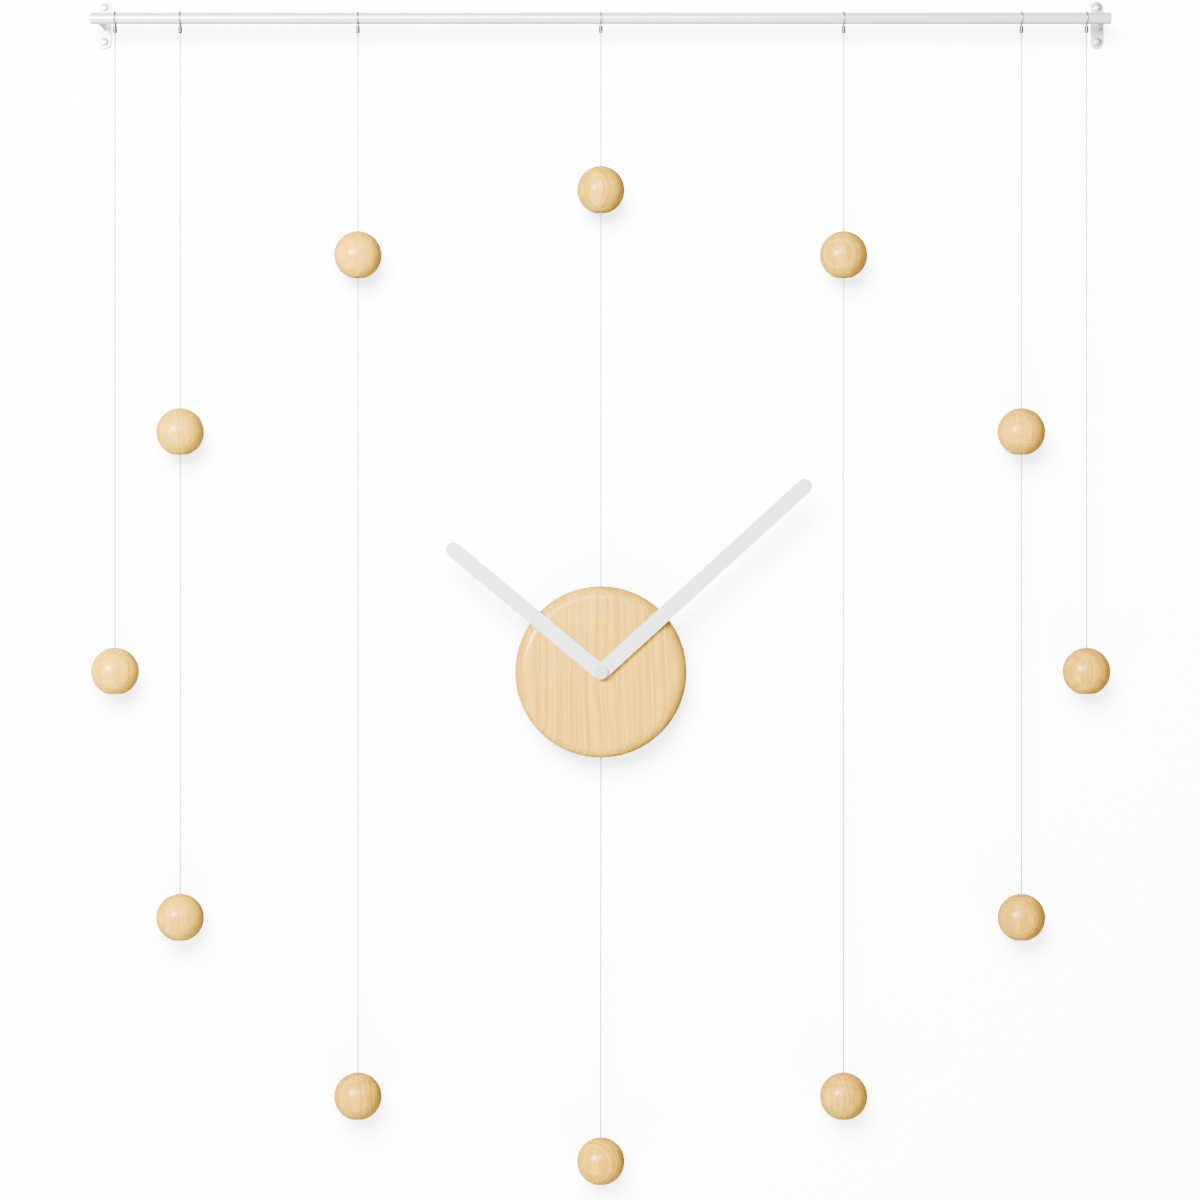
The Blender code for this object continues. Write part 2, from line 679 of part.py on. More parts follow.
def hand_outline(reach, angle):
    """A strip with round ends, from round the shaft to its reach, turned clockwise from upright."""
    half = HAND_WIDTH / 2
    ends = arc((0, 0), half, math.pi, 2 * math.pi, 8) + arc((0, reach - half), half, 0, math.pi, 8)
    return [
        (
            SHAFT[0] + a * math.cos(angle) + b * math.sin(angle),
            SHAFT[1] - a * math.sin(angle) + b * math.cos(angle),
        )
        for a, b in ends
    ]


def make_hand(name, reach, angle, front, back, pipe_radius):
    hole = round_outline(pipe_radius + GAP, SHAFT, FACES_LARGE)
    return flat(name, hand_outline(reach, angle), front, back, HAND, holes=[hole])


def make_cap():
    """The cap over the end of the minute pipe, hollow behind."""
    recess = MINUTE_PIPE_RADIUS + GAP
    depth = CAP_BACK - MINUTE_PIPE_END + GAP
    profile = [
        (0, CAP_HEIGHT),
        (CAP_RADIUS - CAP_EDGE, CAP_HEIGHT),
        (CAP_RADIUS, CAP_HEIGHT - CAP_EDGE),
        (CAP_RADIUS, 0),
        (recess, 0),
        (recess, depth),
        (0, depth),
    ]
    return turned("cap", profile, 20, (SHAFT[0], CAP_BACK, SHAFT[1]), HAND, forward=True)


# ---------------------------------------------------------------- gears


def tooth_outline(count, module, at, direction, form, gap_first=False):
    """A gear's outline, with a tooth or a gap on the line towards its mate."""
    add, ded, tip, root = form
    pitch = count * module / 2
    outer, inner = pitch + add * module, pitch - ded * module
    start = direction + (math.pi / count if gap_first else 0)
    outline = []
    for k in range(count):
        middle = start + 2 * math.pi * k / count
        for radius, width, side in (
            (inner, root, -1),
            (outer, tip, -1),
            (outer, tip, 1),
            (inner, root, 1),
        ):
            outline.append(beside(at, radius, middle + side * width * module / 2 / radius))
    return outline


def module_of(distance, one, other):
    return 2 * distance / (one + other)


TRAIN = module_of(CENTRE_TO_THIRD, THIRD_PINION, CENTRE_TEETH)
THIRD_MODULE = module_of(CENTRE_TO_THIRD, FOURTH_PINION, THIRD_TEETH)
FOURTH_MODULE = module_of(CENTRE_TO_INTERMEDIATE, INTERMEDIATE_PINION, FOURTH_TEETH)
FIRST_MODULE = module_of(INTERMEDIATE_TO_ROTOR, ROTOR_TEETH, INTERMEDIATE_TEETH)
CANNON_MODULE = module_of(CENTRE_TO_MINUTE, CANNON_TEETH, MINUTE_TEETH)
HOUR_MODULE = module_of(CENTRE_TO_MINUTE, MINUTE_PINION, HOUR_TEETH)


def wheel(name, count, module, at, direction, front, material=None):
    """A toothed wheel with a gap towards its pinion."""
    outline = tooth_outline(count, module, at, direction, WHEEL_TOOTH, gap_first=True)
    return flat(name, outline, front, front + WHEEL_THICKNESS, material)


def pinion(name, count, module, at, direction, front):
    """A pinion with a tooth towards its wheel, as thick as the wheel."""
    outline = tooth_outline(count, module, at, direction, PINION_TOOTH)
    return flat(name, outline, front, front + WHEEL_THICKNESS)


def make_train():
    back_pivot = INSIDE_BACK + PIVOT_DEPTH - GAP
    front_pivot = INSIDE_FRONT - PIVOT_DEPTH + GAP
    plate_pivot = MIDDLE_PLATE + GAP / 2

    centre = wheel("centre_wheel", CENTRE_TEETH, TRAIN, SHAFT, THIRD_DIRECTION, CENTRE_LAYER, GEAR)
    join(centre, pin("minute_pipe", MINUTE_PIPE_RADIUS, SHAFT, MINUTE_PIPE_END,
                     CENTRE_LAYER + WHEEL_THICKNESS, FACES_LARGE))
    join(centre, pinion("cannon", CANNON_TEETH, CANNON_MODULE, SHAFT, MINUTE_DIRECTION, MINUTE_LAYER))
    cut(centre, pin("minute_pipe_bore", MINUTE_PIPE_BORE, SHAFT, HOUR_LAYER,
                    CENTRE_LAYER + 2 * WHEEL_THICKNESS))

    fourth = wheel("fourth_wheel", FOURTH_TEETH, FOURTH_MODULE, SHAFT, INTERMEDIATE_DIRECTION,
                   FOURTH_LAYER, GEAR)
    join(fourth, pin("fourth_arbor", ARBOR_RADIUS, SHAFT, MINUTE_LAYER, back_pivot))
    join(fourth, pinion("fourth_pinion", FOURTH_PINION, THIRD_MODULE, SHAFT, THIRD_DIRECTION, THIRD_LAYER))

    back_to_centre = THIRD_DIRECTION + math.pi
    third = wheel("third_wheel", THIRD_TEETH, THIRD_MODULE, THIRD_AXIS, back_to_centre, THIRD_LAYER, GEAR)
    join(third, pin("third_arbor", ARBOR_RADIUS, THIRD_AXIS, front_pivot, back_pivot))
    join(third, pinion("third_pinion", THIRD_PINION, TRAIN, THIRD_AXIS, back_to_centre, CENTRE_LAYER))

    middle = wheel("intermediate_wheel", INTERMEDIATE_TEETH, FIRST_MODULE, INTERMEDIATE_AXIS,
                   ROTOR_DIRECTION, INTERMEDIATE_LAYER, GEAR)
    join(middle, pin("intermediate_arbor", ARBOR_RADIUS, INTERMEDIATE_AXIS, plate_pivot, back_pivot))
    join(middle, pinion("intermediate_pinion", INTERMEDIATE_PINION, FOURTH_MODULE, INTERMEDIATE_AXIS,
                        INTERMEDIATE_DIRECTION + math.pi, FOURTH_LAYER))

    rotor = pin("rotor", MAGNET_RADIUS, ROTOR_AXIS, MAGNET_START, MAGNET_START + MAGNET_LENGTH,
                FACES_LARGE, MAGNET)
    join(rotor, pin("rotor_arbor", ARBOR_RADIUS, ROTOR_AXIS, plate_pivot, back_pivot))
    join(rotor, pinion("rotor_pinion", ROTOR_TEETH, FIRST_MODULE, ROTOR_AXIS,
                       ROTOR_DIRECTION + math.pi, INTERMEDIATE_LAYER))

    setting = wheel("minute_wheel", MINUTE_TEETH, CANNON_MODULE, MINUTE_AXIS,
                    MINUTE_DIRECTION + math.pi, MINUTE_LAYER, GEAR)
    join(setting, pin("minute_arbor", SETTING_ARBOR_RADIUS, MINUTE_AXIS, front_pivot,
                      CASE_BACK + SETTING_ARBOR_REACH))
    join(setting, pinion("minute_pinion", MINUTE_PINION, HOUR_MODULE, MINUTE_AXIS,
                         MINUTE_DIRECTION + math.pi, HOUR_LAYER))

    hour = wheel("hour_wheel", HOUR_TEETH, HOUR_MODULE, SHAFT, MINUTE_DIRECTION, HOUR_LAYER, GEAR)
    join(hour, pin("hour_pipe", HOUR_PIPE_RADIUS, SHAFT, HOUR_PIPE_END, HOUR_LAYER + WHEEL_THICKNESS,
                   FACES_LARGE))
    cut(hour, pin("hour_pipe_bore", HOUR_PIPE_BORE, SHAFT, HOUR_PIPE_END - WHEEL_THICKNESS,
                  HOUR_LAYER + 2 * WHEEL_THICKNESS, 16))
    return {"centre": centre, "fourth": fourth, "third": third, "middle": middle,
            "rotor": rotor, "setting": setting, "hour": hour}


# ---------------------------------------------------------------- movement


def rounded_square(half, corner):
    outline = []
    for k in range(4):
        turn = k * math.pi / 2
        side = half - corner
        middle = (
            SHAFT[0] + side * math.cos(turn) - side * math.sin(turn),
            SHAFT[1] + side * math.sin(turn) + side * math.cos(turn),
        )
        outline += arc(middle, corner, turn, turn + math.pi / 2, 3)
    return outline


def blind(name, at, start, end, radius=None):
    return pin(name, radius or ARBOR_RADIUS + PIVOT_CLEARANCE, at, start, end)


def make_case_front():
    """The tray that holds the works, with the neck, the ears and the posts for the middle plate."""
    case = flat("case_front", rounded_square(CASE_SIZE / 2, CASE_CORNER), CASE_FRONT, TRAY_END, CASE)
    inside = flat("tray_hollow", rounded_square(INSIDE_HALF, CASE_CORNER - CASE_WALL), INSIDE_FRONT,
                  TRAY_END + CASE_WALL)
    cut(case, inside)
    for side, name in ((-1, "left"), (1, "right")):
        near, far = CASE_SIZE / 2 - CASE_WALL / 2, CASE_SIZE / 2 + EAR_LENGTH - GAP
        ear = block(
            f"ear_{name}",
            (min(side * near, side * far), CASE_FRONT, DISC_Z - EAR_WIDTH / 2),
            (max(side * near, side * far), CASE_FRONT + EAR_THICKNESS, DISC_Z + EAR_WIDTH / 2),
        )
        join(case, ear)
        x = side * (CASE_SIZE + EAR_LENGTH) / 2
        hole = pin(f"ear_hole_{name}", EAR_SCREW_RADIUS + GAP, (x, DISC_Z), POCKET_FLOOR - EAR_THICKNESS,
                   CASE_FRONT + 2 * EAR_THICKNESS)
        cut(case, hole)
        make_movement_screw(name, (x, CASE_FRONT + EAR_THICKNESS + GAP, DISC_Z))
    join(case, pin("neck", NECK_RADIUS, SHAFT, NECK_END, CASE_FRONT + CASE_WALL / 2, FACES_LARGE))
    cut(case, pin("neck_bore", NECK_BORE, SHAFT, NECK_END - CASE_WALL, INSIDE_FRONT + CASE_WALL / 4,
                  FACES_LARGE))
    for k, place in enumerate(PLATE_POSTS):
        join(case, pin(f"post_{k}", POST_RADIUS, place, CASE_FRONT + CASE_WALL / 2, MIDDLE_PLATE - GAP, 8))
    for name, at, radius in (
        ("third", THIRD_AXIS, ARBOR_RADIUS),
        ("minute", MINUTE_AXIS, SETTING_ARBOR_RADIUS),
    ):
        cut(case, blind(f"{name}_front_pivot", at, INSIDE_FRONT - PIVOT_DEPTH, INSIDE_FRONT + LAYER_SPACE,
                        radius + PIVOT_CLEARANCE))
    return case


def make_middle_plate():
    plate = block("middle_plate", (PLATE_LEFT, MIDDLE_PLATE, PLATE_BOTTOM),
                  (PLATE_RIGHT, MIDDLE_PLATE + PLATE_THICKNESS, PLATE_TOP), BRASS)
    reach = PLATE_THICKNESS
    for name, at, radius in (
        ("centre", SHAFT, ARBOR_RADIUS),
        ("third", THIRD_AXIS, ARBOR_RADIUS),
        ("intermediate", INTERMEDIATE_AXIS, ARBOR_RADIUS),
        ("rotor", ROTOR_AXIS, ARBOR_RADIUS),
        ("minute", MINUTE_AXIS, SETTING_ARBOR_RADIUS),
    ):
        cut(plate, blind(f"{name}_plate_hole", at, MIDDLE_PLATE - reach, MIDDLE_PLATE + 2 * reach,
                         radius + PIVOT_CLEARANCE))
    return plate


def make_case_back():
    """The rear cover: open over the battery, with the pivot holes and the knob's hole."""
    cover = flat("case_back", rounded_square(CASE_SIZE / 2, CASE_CORNER), INSIDE_BACK, CASE_BACK, CASE)
    half = BATTERY_RADIUS + GAP
    bay = block(
        "battery_bay",
        (-INSIDE_HALF + CASE_WALL, INSIDE_BACK - CASE_WALL, DISC_Z - BATTERY_DROP - half),
        (INSIDE_HALF - CASE_WALL, CASE_BACK + CASE_WALL, DISC_Z - BATTERY_DROP + half),
    )
    cut(cover, bay)
    for name, at in (("centre", SHAFT), ("third", THIRD_AXIS), ("intermediate", INTERMEDIATE_AXIS),
                     ("rotor", ROTOR_AXIS)):
        cut(cover, blind(f"{name}_back_pivot", at, INSIDE_BACK - CASE_WALL, INSIDE_BACK + PIVOT_DEPTH))
    cut(cover, blind("knob_hole", MINUTE_AXIS, INSIDE_BACK - CASE_WALL, CASE_BACK + CASE_WALL,
                     SETTING_ARBOR_RADIUS + PIVOT_CLEARANCE))
    rests = [(BOARD_CENTRE[0], BOARD_CENTRE[1] + 0.006), (BOARD_CENTRE[0], BOARD_CENTRE[1] - 0.006),
             (STATOR_LEFT + 0.002, COIL_CENTRE[1] + 0.002), (STATOR_RIGHT - 0.002, COIL_CENTRE[1] + 0.002)]
    for k, place in enumerate(rests):
        join(cover, pin(f"rest_{k}", REST_RADIUS, place, BOARD_BACK + GAP, INSIDE_BACK + CASE_WALL / 2, 8))
    return cover


def make_stator():
    """The flat iron yoke round the rotor, open at the top where the coil sits."""
    arm = 0.0045
    notch = DISC_Z + 0.0175
    outline = [
        (STATOR_LEFT, STATOR_BOTTOM),
        (STATOR_RIGHT, STATOR_BOTTOM),
        (STATOR_RIGHT, STATOR_TOP),
        (STATOR_RIGHT - arm, STATOR_TOP),
        (STATOR_RIGHT - arm, notch),
        (STATOR_LEFT + arm, notch),
        (STATOR_LEFT + arm, STATOR_TOP),
        (STATOR_LEFT, STATOR_TOP),
    ]
    hole = round_outline(MAGNET_RADIUS + 0.0004, ROTOR_AXIS, FACES_LARGE)
    return flat("stator", outline, STATOR_FRONT, STATOR_FRONT + STATOR_THICKNESS, IRON, holes=[hole])


def make_coil():
    """The winding on its bobbin, and the iron core through it."""
    half, flange = COIL_LENGTH / 2, 0.0008
    waist = COIL_RADIUS - 0.0003
    profile = [
        (COIL_BORE, half),
        (COIL_RADIUS, half),
        (COIL_RADIUS, half - flange),
        (waist, half - flange),
        (waist, flange - half),
        (COIL_RADIUS, flange - half),
        (COIL_RADIUS, -half),
        (COIL_BORE, -half),
    ]
    coil = turned("coil", profile, 16, (COIL_CENTRE[0], COIL_Y, COIL_CENTRE[1]), COPPER)
    coil.rotation_euler = (0, math.pi / 2, 0)
    reach = (STATOR_RIGHT - STATOR_LEFT) / 2 - 0.0005
    core = block(
        "coil_core",
        (COIL_CENTRE[0] - reach, CORE_BACK - CORE_THICKNESS, COIL_CENTRE[1] - CORE_HEIGHT / 2),
        (COIL_CENTRE[0] + reach, CORE_BACK, COIL_CENTRE[1] + CORE_HEIGHT / 2),
        IRON,
    )
    return coil, core


def make_battery():
    half = BATTERY_LENGTH / 2
    profile = [
        (0, half + BATTERY_NUB_LENGTH),
        (BATTERY_NUB_RADIUS, half + BATTERY_NUB_LENGTH),
        (BATTERY_NUB_RADIUS, half),
        (BATTERY_RADIUS, half),
        (BATTERY_RADIUS, -half),
        (0, -half),
    ]
    battery = turned("battery", profile, 20, (0, BATTERY_Y, DISC_Z - BATTERY_DROP), CELL)
    battery.rotation_euler = (0, math.pi / 2, 0)
    return battery


def make_contacts():
    """A contact between the case wall and the battery's nub, and a bent leaf at its base."""
    z = DISC_Z - BATTERY_DROP
    front, back = BATTERY_Y - CONTACT_WIDTH / 2, BATTERY_Y + CONTACT_WIDTH / 2
    wall = INSIDE_HALF - GAP
    nub = BATTERY_LENGTH / 2 + BATTERY_NUB_LENGTH
    plus = block("contact_plus", (nub + GAP, front, z - CONTACT_WIDTH / 2),
                 (wall, back, z + CONTACT_WIDTH / 2), BRASS)
    reach = CONTACT_WIDTH / 2
    crest = -BATTERY_LENGTH / 2 - GAP
    t = CONTACT_THICKNESS
    leaf = [
        (-wall, z - reach),
        (-wall + t, z - reach),
        (crest, z - 0.001),
        (crest, z + 0.001),
        (-wall + t, z + reach),
        (-wall, z + reach),
        (crest - t, z + 0.0008),
        (crest - t, z - 0.0008),
    ]
    minus = flat("contact_minus", leaf, front, back, BRASS)
    return plus, minus


def make_board():
    x, z = BOARD_CENTRE
    wide, tall = BOARD_SIZE
    board = block("circuit_board", (x - wide / 2, BOARD_FRONT, z - tall / 2),
                  (x + wide / 2, BOARD_BACK, z + tall / 2), BOARD)
    y = BOARD_FRONT - GAP - CRYSTAL_RADIUS
    crystal = cylinder("crystal", CRYSTAL_RADIUS, (x, y, z - CRYSTAL_LENGTH / 2),
                       (x, y, z + CRYSTAL_LENGTH / 2), 12, ZINC)
    return board, crystal


def make_knob():
    """The fluted setting knob behind the cover, bored for the minute wheel's arbor."""
    x, z = MINUTE_AXIS
    start = CASE_BACK + GAP
    outline = []
    for k in range(KNOB_FLUTES):
        middle = 2 * math.pi * k / KNOB_FLUTES
        outline.append(beside((x, z), KNOB_RADIUS, middle))
        outline.append(beside((x, z), KNOB_RADIUS * 0.9, middle + math.pi / KNOB_FLUTES))
    knob = flat("set_knob", outline, start, start + KNOB_HEIGHT, CASE)
    cut(knob, pin("knob_bore", SETTING_ARBOR_RADIUS + GAP, (x, z), start - GAP,
                  CASE_BACK + SETTING_ARBOR_REACH + GAP))
    return knob


def make_movement_screw(name, seat):
    """A screw whose head faces the wall and whose shank goes through the ear into the wood."""
    head, height, shank = EAR_SCREW_HEAD_RADIUS, EAR_SCREW_HEAD_HEIGHT, EAR_SCREW_RADIUS
    profile = [
        (0, EAR_SCREW_LENGTH),
        (shank, EAR_SCREW_LENGTH - 1.5 * shank),
        (shank, 0),
        (head, 0),
        (head * 0.8, -height),
        (0, -height),
    ]
    screw = turned(f"movement_screw_{name}", profile, 12, seat, ZINC, forward=True)
    at = (seat[0], seat[1] + height / 2, seat[2])
    for slot in cross_recess(f"movement_screw_{name}", at, EAR_RECESS_WIDTH, head * 0.6, height):
        cut(screw, slot)
    return screw


def make_clock(disc_axis):
    disc = make_disc()
    works = make_train()
    case, plate, cover = make_case_front(), make_middle_plate(), make_case_back()
    hour_hand = make_hand("hour_hand", HOUR_REACH, HOUR_ANGLE, HOUR_HAND_FRONT, HOUR_HAND_BACK,
                          HOUR_PIPE_RADIUS)
    minute_hand = make_hand("minute_hand", MINUTE_REACH, MINUTE_ANGLE, MINUTE_HAND_FRONT,
                            MINUTE_HAND_BACK, MINUTE_PIPE_RADIUS)
    cap, knob = make_cap(), make_knob()
    screws = [bpy.data.objects[f"movement_screw_{name}"] for name in ("left", "right")]
    fixed = [disc, case, plate, cover, *screws, make_stator(), *make_coil(), make_battery(),
             *make_contacts(), *make_board()]
    hang(disc_axis, *fixed)
    for name, at, movers in (
        ("minute_hand_axis", SHAFT, [works["centre"], minute_hand, cap]),
        ("hour_hand_axis", SHAFT, [works["hour"], hour_hand]),
        ("fourth_axis", SHAFT, [works["fourth"]]),
        ("third_axis", THIRD_AXIS, [works["third"]]),
        ("intermediate_axis", INTERMEDIATE_AXIS, [works["middle"]]),
        ("rotor_axis", ROTOR_AXIS, [works["rotor"]]),
        ("minute_wheel_axis", MINUTE_AXIS, [works["setting"], knob]),
    ):
        empty = axis_empty(name, (at[0], CASE_FRONT, at[1]), disc_axis)
        hang(empty, *movers)


def build():
    make_rod()
    make_bracket(-1, "left")
    make_bracket(1, "right")
    sways = {line: make_line(line) for line in LINES}
    make_clock(sways[12])
    make_tail(sways[12])


build()
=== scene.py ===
import math

import bmesh
import bpy
from mathutils import Matrix, Vector


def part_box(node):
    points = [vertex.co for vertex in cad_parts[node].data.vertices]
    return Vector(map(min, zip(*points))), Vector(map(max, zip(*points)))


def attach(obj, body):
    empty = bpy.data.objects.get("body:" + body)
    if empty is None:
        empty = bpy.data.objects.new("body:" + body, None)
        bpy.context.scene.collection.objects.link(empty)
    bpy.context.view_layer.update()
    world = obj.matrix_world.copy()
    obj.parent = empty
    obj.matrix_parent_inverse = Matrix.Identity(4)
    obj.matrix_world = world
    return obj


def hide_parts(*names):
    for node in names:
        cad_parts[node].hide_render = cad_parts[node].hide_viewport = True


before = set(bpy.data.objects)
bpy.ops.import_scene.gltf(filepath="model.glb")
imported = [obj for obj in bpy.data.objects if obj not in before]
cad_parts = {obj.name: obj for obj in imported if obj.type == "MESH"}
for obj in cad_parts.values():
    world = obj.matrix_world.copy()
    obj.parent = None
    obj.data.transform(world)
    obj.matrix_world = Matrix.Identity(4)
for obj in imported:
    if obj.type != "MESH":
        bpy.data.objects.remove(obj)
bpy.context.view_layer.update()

# Everything is in metres, with the wall at Y = 0, the rod's axis at Z = 0 and the clock at Y < 0.

LENS = 95.1                 # in millimetres, over a sensor 36 mm wide
CAMERA_DISTANCE = 2.33      # from the rod's axis
CAMERA_X = -0.0006
CAMERA_Z = -0.4275
WALL_PAINT = 0.15
WALL_SEEN = 7.0

LINES = {9: (9,), 10: (10, 8), 11: (11, 7), 12: (12,), 1: (1, 5), 2: (2, 4), 3: (3,)}
BALL_TONES = (1, 1, 2, 2, 2, 1, 2, 1, 0, 0, 0, 1)     # which beech each ball is, from one o'clock

WIRE_RADIUS = 0.0005
STRANDS = 6
STRAND_LAY = 0.0065         # length of one turn of the strands
LOOP_CLEARANCE = 0.00035
STRAND_OFFSET = 0.00065     # from the ferrule's axis to each side of the loop
FERRULE_LENGTH = 0.0056
FERRULE_DEPTH = 0.0041
BALL_RADIUS = 0.0175
BALL_FLAT_RADIUS = 0.0056
BALL_BORE_RADIUS = 0.0008
COUNTERBORE_RADIUS = 0.0034
COUNTERBORE_DEPTH = 0.006
STOP_RADIUS = 0.0014
STOP_LENGTH = 0.003
DISC_EDGE = 0.0095
WEB_THICKNESS = 0.007       # wood left in front of the movement's pocket
MOVEMENT_POCKET = (0.0285, 0.0285, 0.003)   # half width, half height and corner radius
EAR_POCKET = (0.0365, 0.0045, 0.0035)
STOP_POCKET = (0.0040, 0.0360, 0.0038)
NECK_HOLE_RADIUS = 0.0043
PILOT_RADIUS = 0.0014
PILOT_DEPTH = 0.0041
PLATE_THICKNESS = 0.002
PLATE_HOLE_RADIUS = 0.0019
ARM_THICKNESS = 0.0015
ARM_HEIGHT = 0.008
WALL_SCREW_HEAD = (0.00295, 0.0016)         # radius and height
WALL_SCREW_THREAD = (0.0015, 0.0011)        # radius and pitch
MOVEMENT_SCREW_HEAD = (0.0021, 0.0013)
MOVEMENT_SCREW_THREAD = (0.0011, 0.0008)
HAND_HALF_WIDTH = 0.0056
COVER_THICKNESS = 0.0012
NUB_LENGTH = 0.0012
NUB_RADIUS = 0.0028
BATTERY_OPENING = (0.0256, 0.0074, 0.001)   # half width, half height and corner radius
KNOB_RIDGES = 24
GAP = 0.0003                # round the rod in its saddles, and over each ball's stop


# ---------------------------------------------------------------- places


def low(node):
    return Vector(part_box(node)[0])


def high(node):
    return Vector(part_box(node)[1])


def middle(node):
    return (low(node) + high(node)) / 2


ROD_Y = middle("rod").y
ROD_RADIUS = high("rod").z
LOOP_RADIUS = ROD_RADIUS + LOOP_CLEARANCE + WIRE_RADIUS
DISC = middle("disc")
SHAFT = Vector((DISC.x, 0, DISC.z))


def ball_centre(hour):
    found = middle(f"ball_{hour}")
    found.z = high(f"ball_{hour}").z - BALL_RADIUS
    return found


# ---------------------------------------------------------------- camera, lights, stage


def aim(thing, target):
    away = Vector(target) - thing.location
    thing.rotation_euler = away.to_track_quat("-Z", "Y").to_euler()


def add_camera():
    camera = bpy.data.objects.new("camera", bpy.data.cameras.new("camera"))
    camera.data.lens = LENS
    camera.data.sensor_width = 36
    camera.location = (CAMERA_X, ROD_Y - CAMERA_DISTANCE, CAMERA_Z)
    camera.rotation_euler = (math.pi / 2, 0, 0)
    bpy.context.scene.collection.objects.link(camera)
    bpy.context.scene.camera = camera


def add_softbox(name, place, target, size, power):
    lamp = bpy.data.lights.new(name, "AREA")
    lamp.shape = "RECTANGLE"
    lamp.size, lamp.size_y = size
    lamp.energy = power
    box = bpy.data.objects.new(name, lamp)
    box.location = place
    box.visible_camera = False
    aim(box, target)
    bpy.context.scene.collection.objects.link(box)
    return box


def keep_off(box, thing):
    """Stops a softbox from lighting one thing, as a flag in front of it would."""
    others = bpy.data.collections.new(f"{box.name}_off")
    others.objects.link(thing)
    others.collection_objects[0].light_linking.link_state = "EXCLUDE"
    box.light_linking.receiver_collection = others


def add_room_light(seen, shed):
    """Even light from all round, which shows as a brighter backdrop."""
    world = bpy.data.worlds.new("studio")
    world.use_nodes = True
    tree = world.node_tree
    path = tree.nodes.new("ShaderNodeLightPath").outputs["Is Camera Ray"]
    strength = spread(tree, path, 0.0, 1.0, shed, seen)
    tree.links.new(strength, tree.nodes["Background"].inputs["Strength"])
    tree.nodes["Background"].inputs["Color"].default_value = (1, 1, 1, 1)
    bpy.context.scene.world = world


def add_lights(wall):
    target = (0, 0, DISC.z + 0.03)
    add_softbox("front_softbox", (-0.38, -2.38, 0.52), target, (1.2, 1.2), 115)
    side = add_softbox("side_softbox", (-1.20, -1.76, 0.10), target, (0.6, 0.6), 190)
    keep_off(side, wall)
    add_room_light(6.0, 0.4)


# ---------------------------------------------------------------- node helpers


def node(tree, kind, inputs=None, **settings):
    """A node with its settings. Each input gets a value or another node's output."""
    made = tree.nodes.new(kind)
    for name, value in settings.items():
        setattr(made, name, value)
    for name, value in (inputs or {}).items():
        if isinstance(value, bpy.types.NodeSocket):
            tree.links.new(value, made.inputs[name])
        else:
            made.inputs[name].default_value = value
    return made


def sums(tree, operation, first, second):
    return node(tree, "ShaderNodeMath", {0: first, 1: second}, operation=operation).outputs[0]


def scaled(tree, vector, scale):
    made = node(tree, "ShaderNodeVectorMath", {0: vector, 1: scale}, operation="MULTIPLY")
    return made.outputs["Vector"]


def noise(tree, vector, scale, detail=2.0, roughness=0.5):
    """Noise whose features are 1/scale metres wide along each axis."""
    inputs = {"Vector": scaled(tree, vector, scale), "Scale": 1.0, "Detail": detail, "Roughness": roughness}
    return node(tree, "ShaderNodeTexNoise", inputs).outputs["Fac"]


def spread(tree, value, start, end, low_value=0.0, high_value=1.0):
    inputs = {"Value": value, 1: start, 2: end, 3: low_value, 4: high_value}
    return node(tree, "ShaderNodeMapRange", inputs, interpolation_type="SMOOTHSTEP").outputs[0]


def blended(tree, share, first, second):
    inputs = {0: share, 6: first, 7: second}
    return node(tree, "ShaderNodeMix", inputs, data_type="RGBA").outputs[2]


def new_group(name, inputs, outputs):
    tree = bpy.data.node_groups.new(name, "ShaderNodeTree")
    for socket, kind, value in inputs:
        made = tree.interface.new_socket(socket, in_out="INPUT", socket_type=f"NodeSocket{kind}")
        made.default_value = value
    for socket, kind in outputs:
        tree.interface.new_socket(socket, in_out="OUTPUT", socket_type=f"NodeSocket{kind}")
    return tree, tree.nodes.new("NodeGroupInput").outputs, tree.nodes.new("NodeGroupOutput").inputs


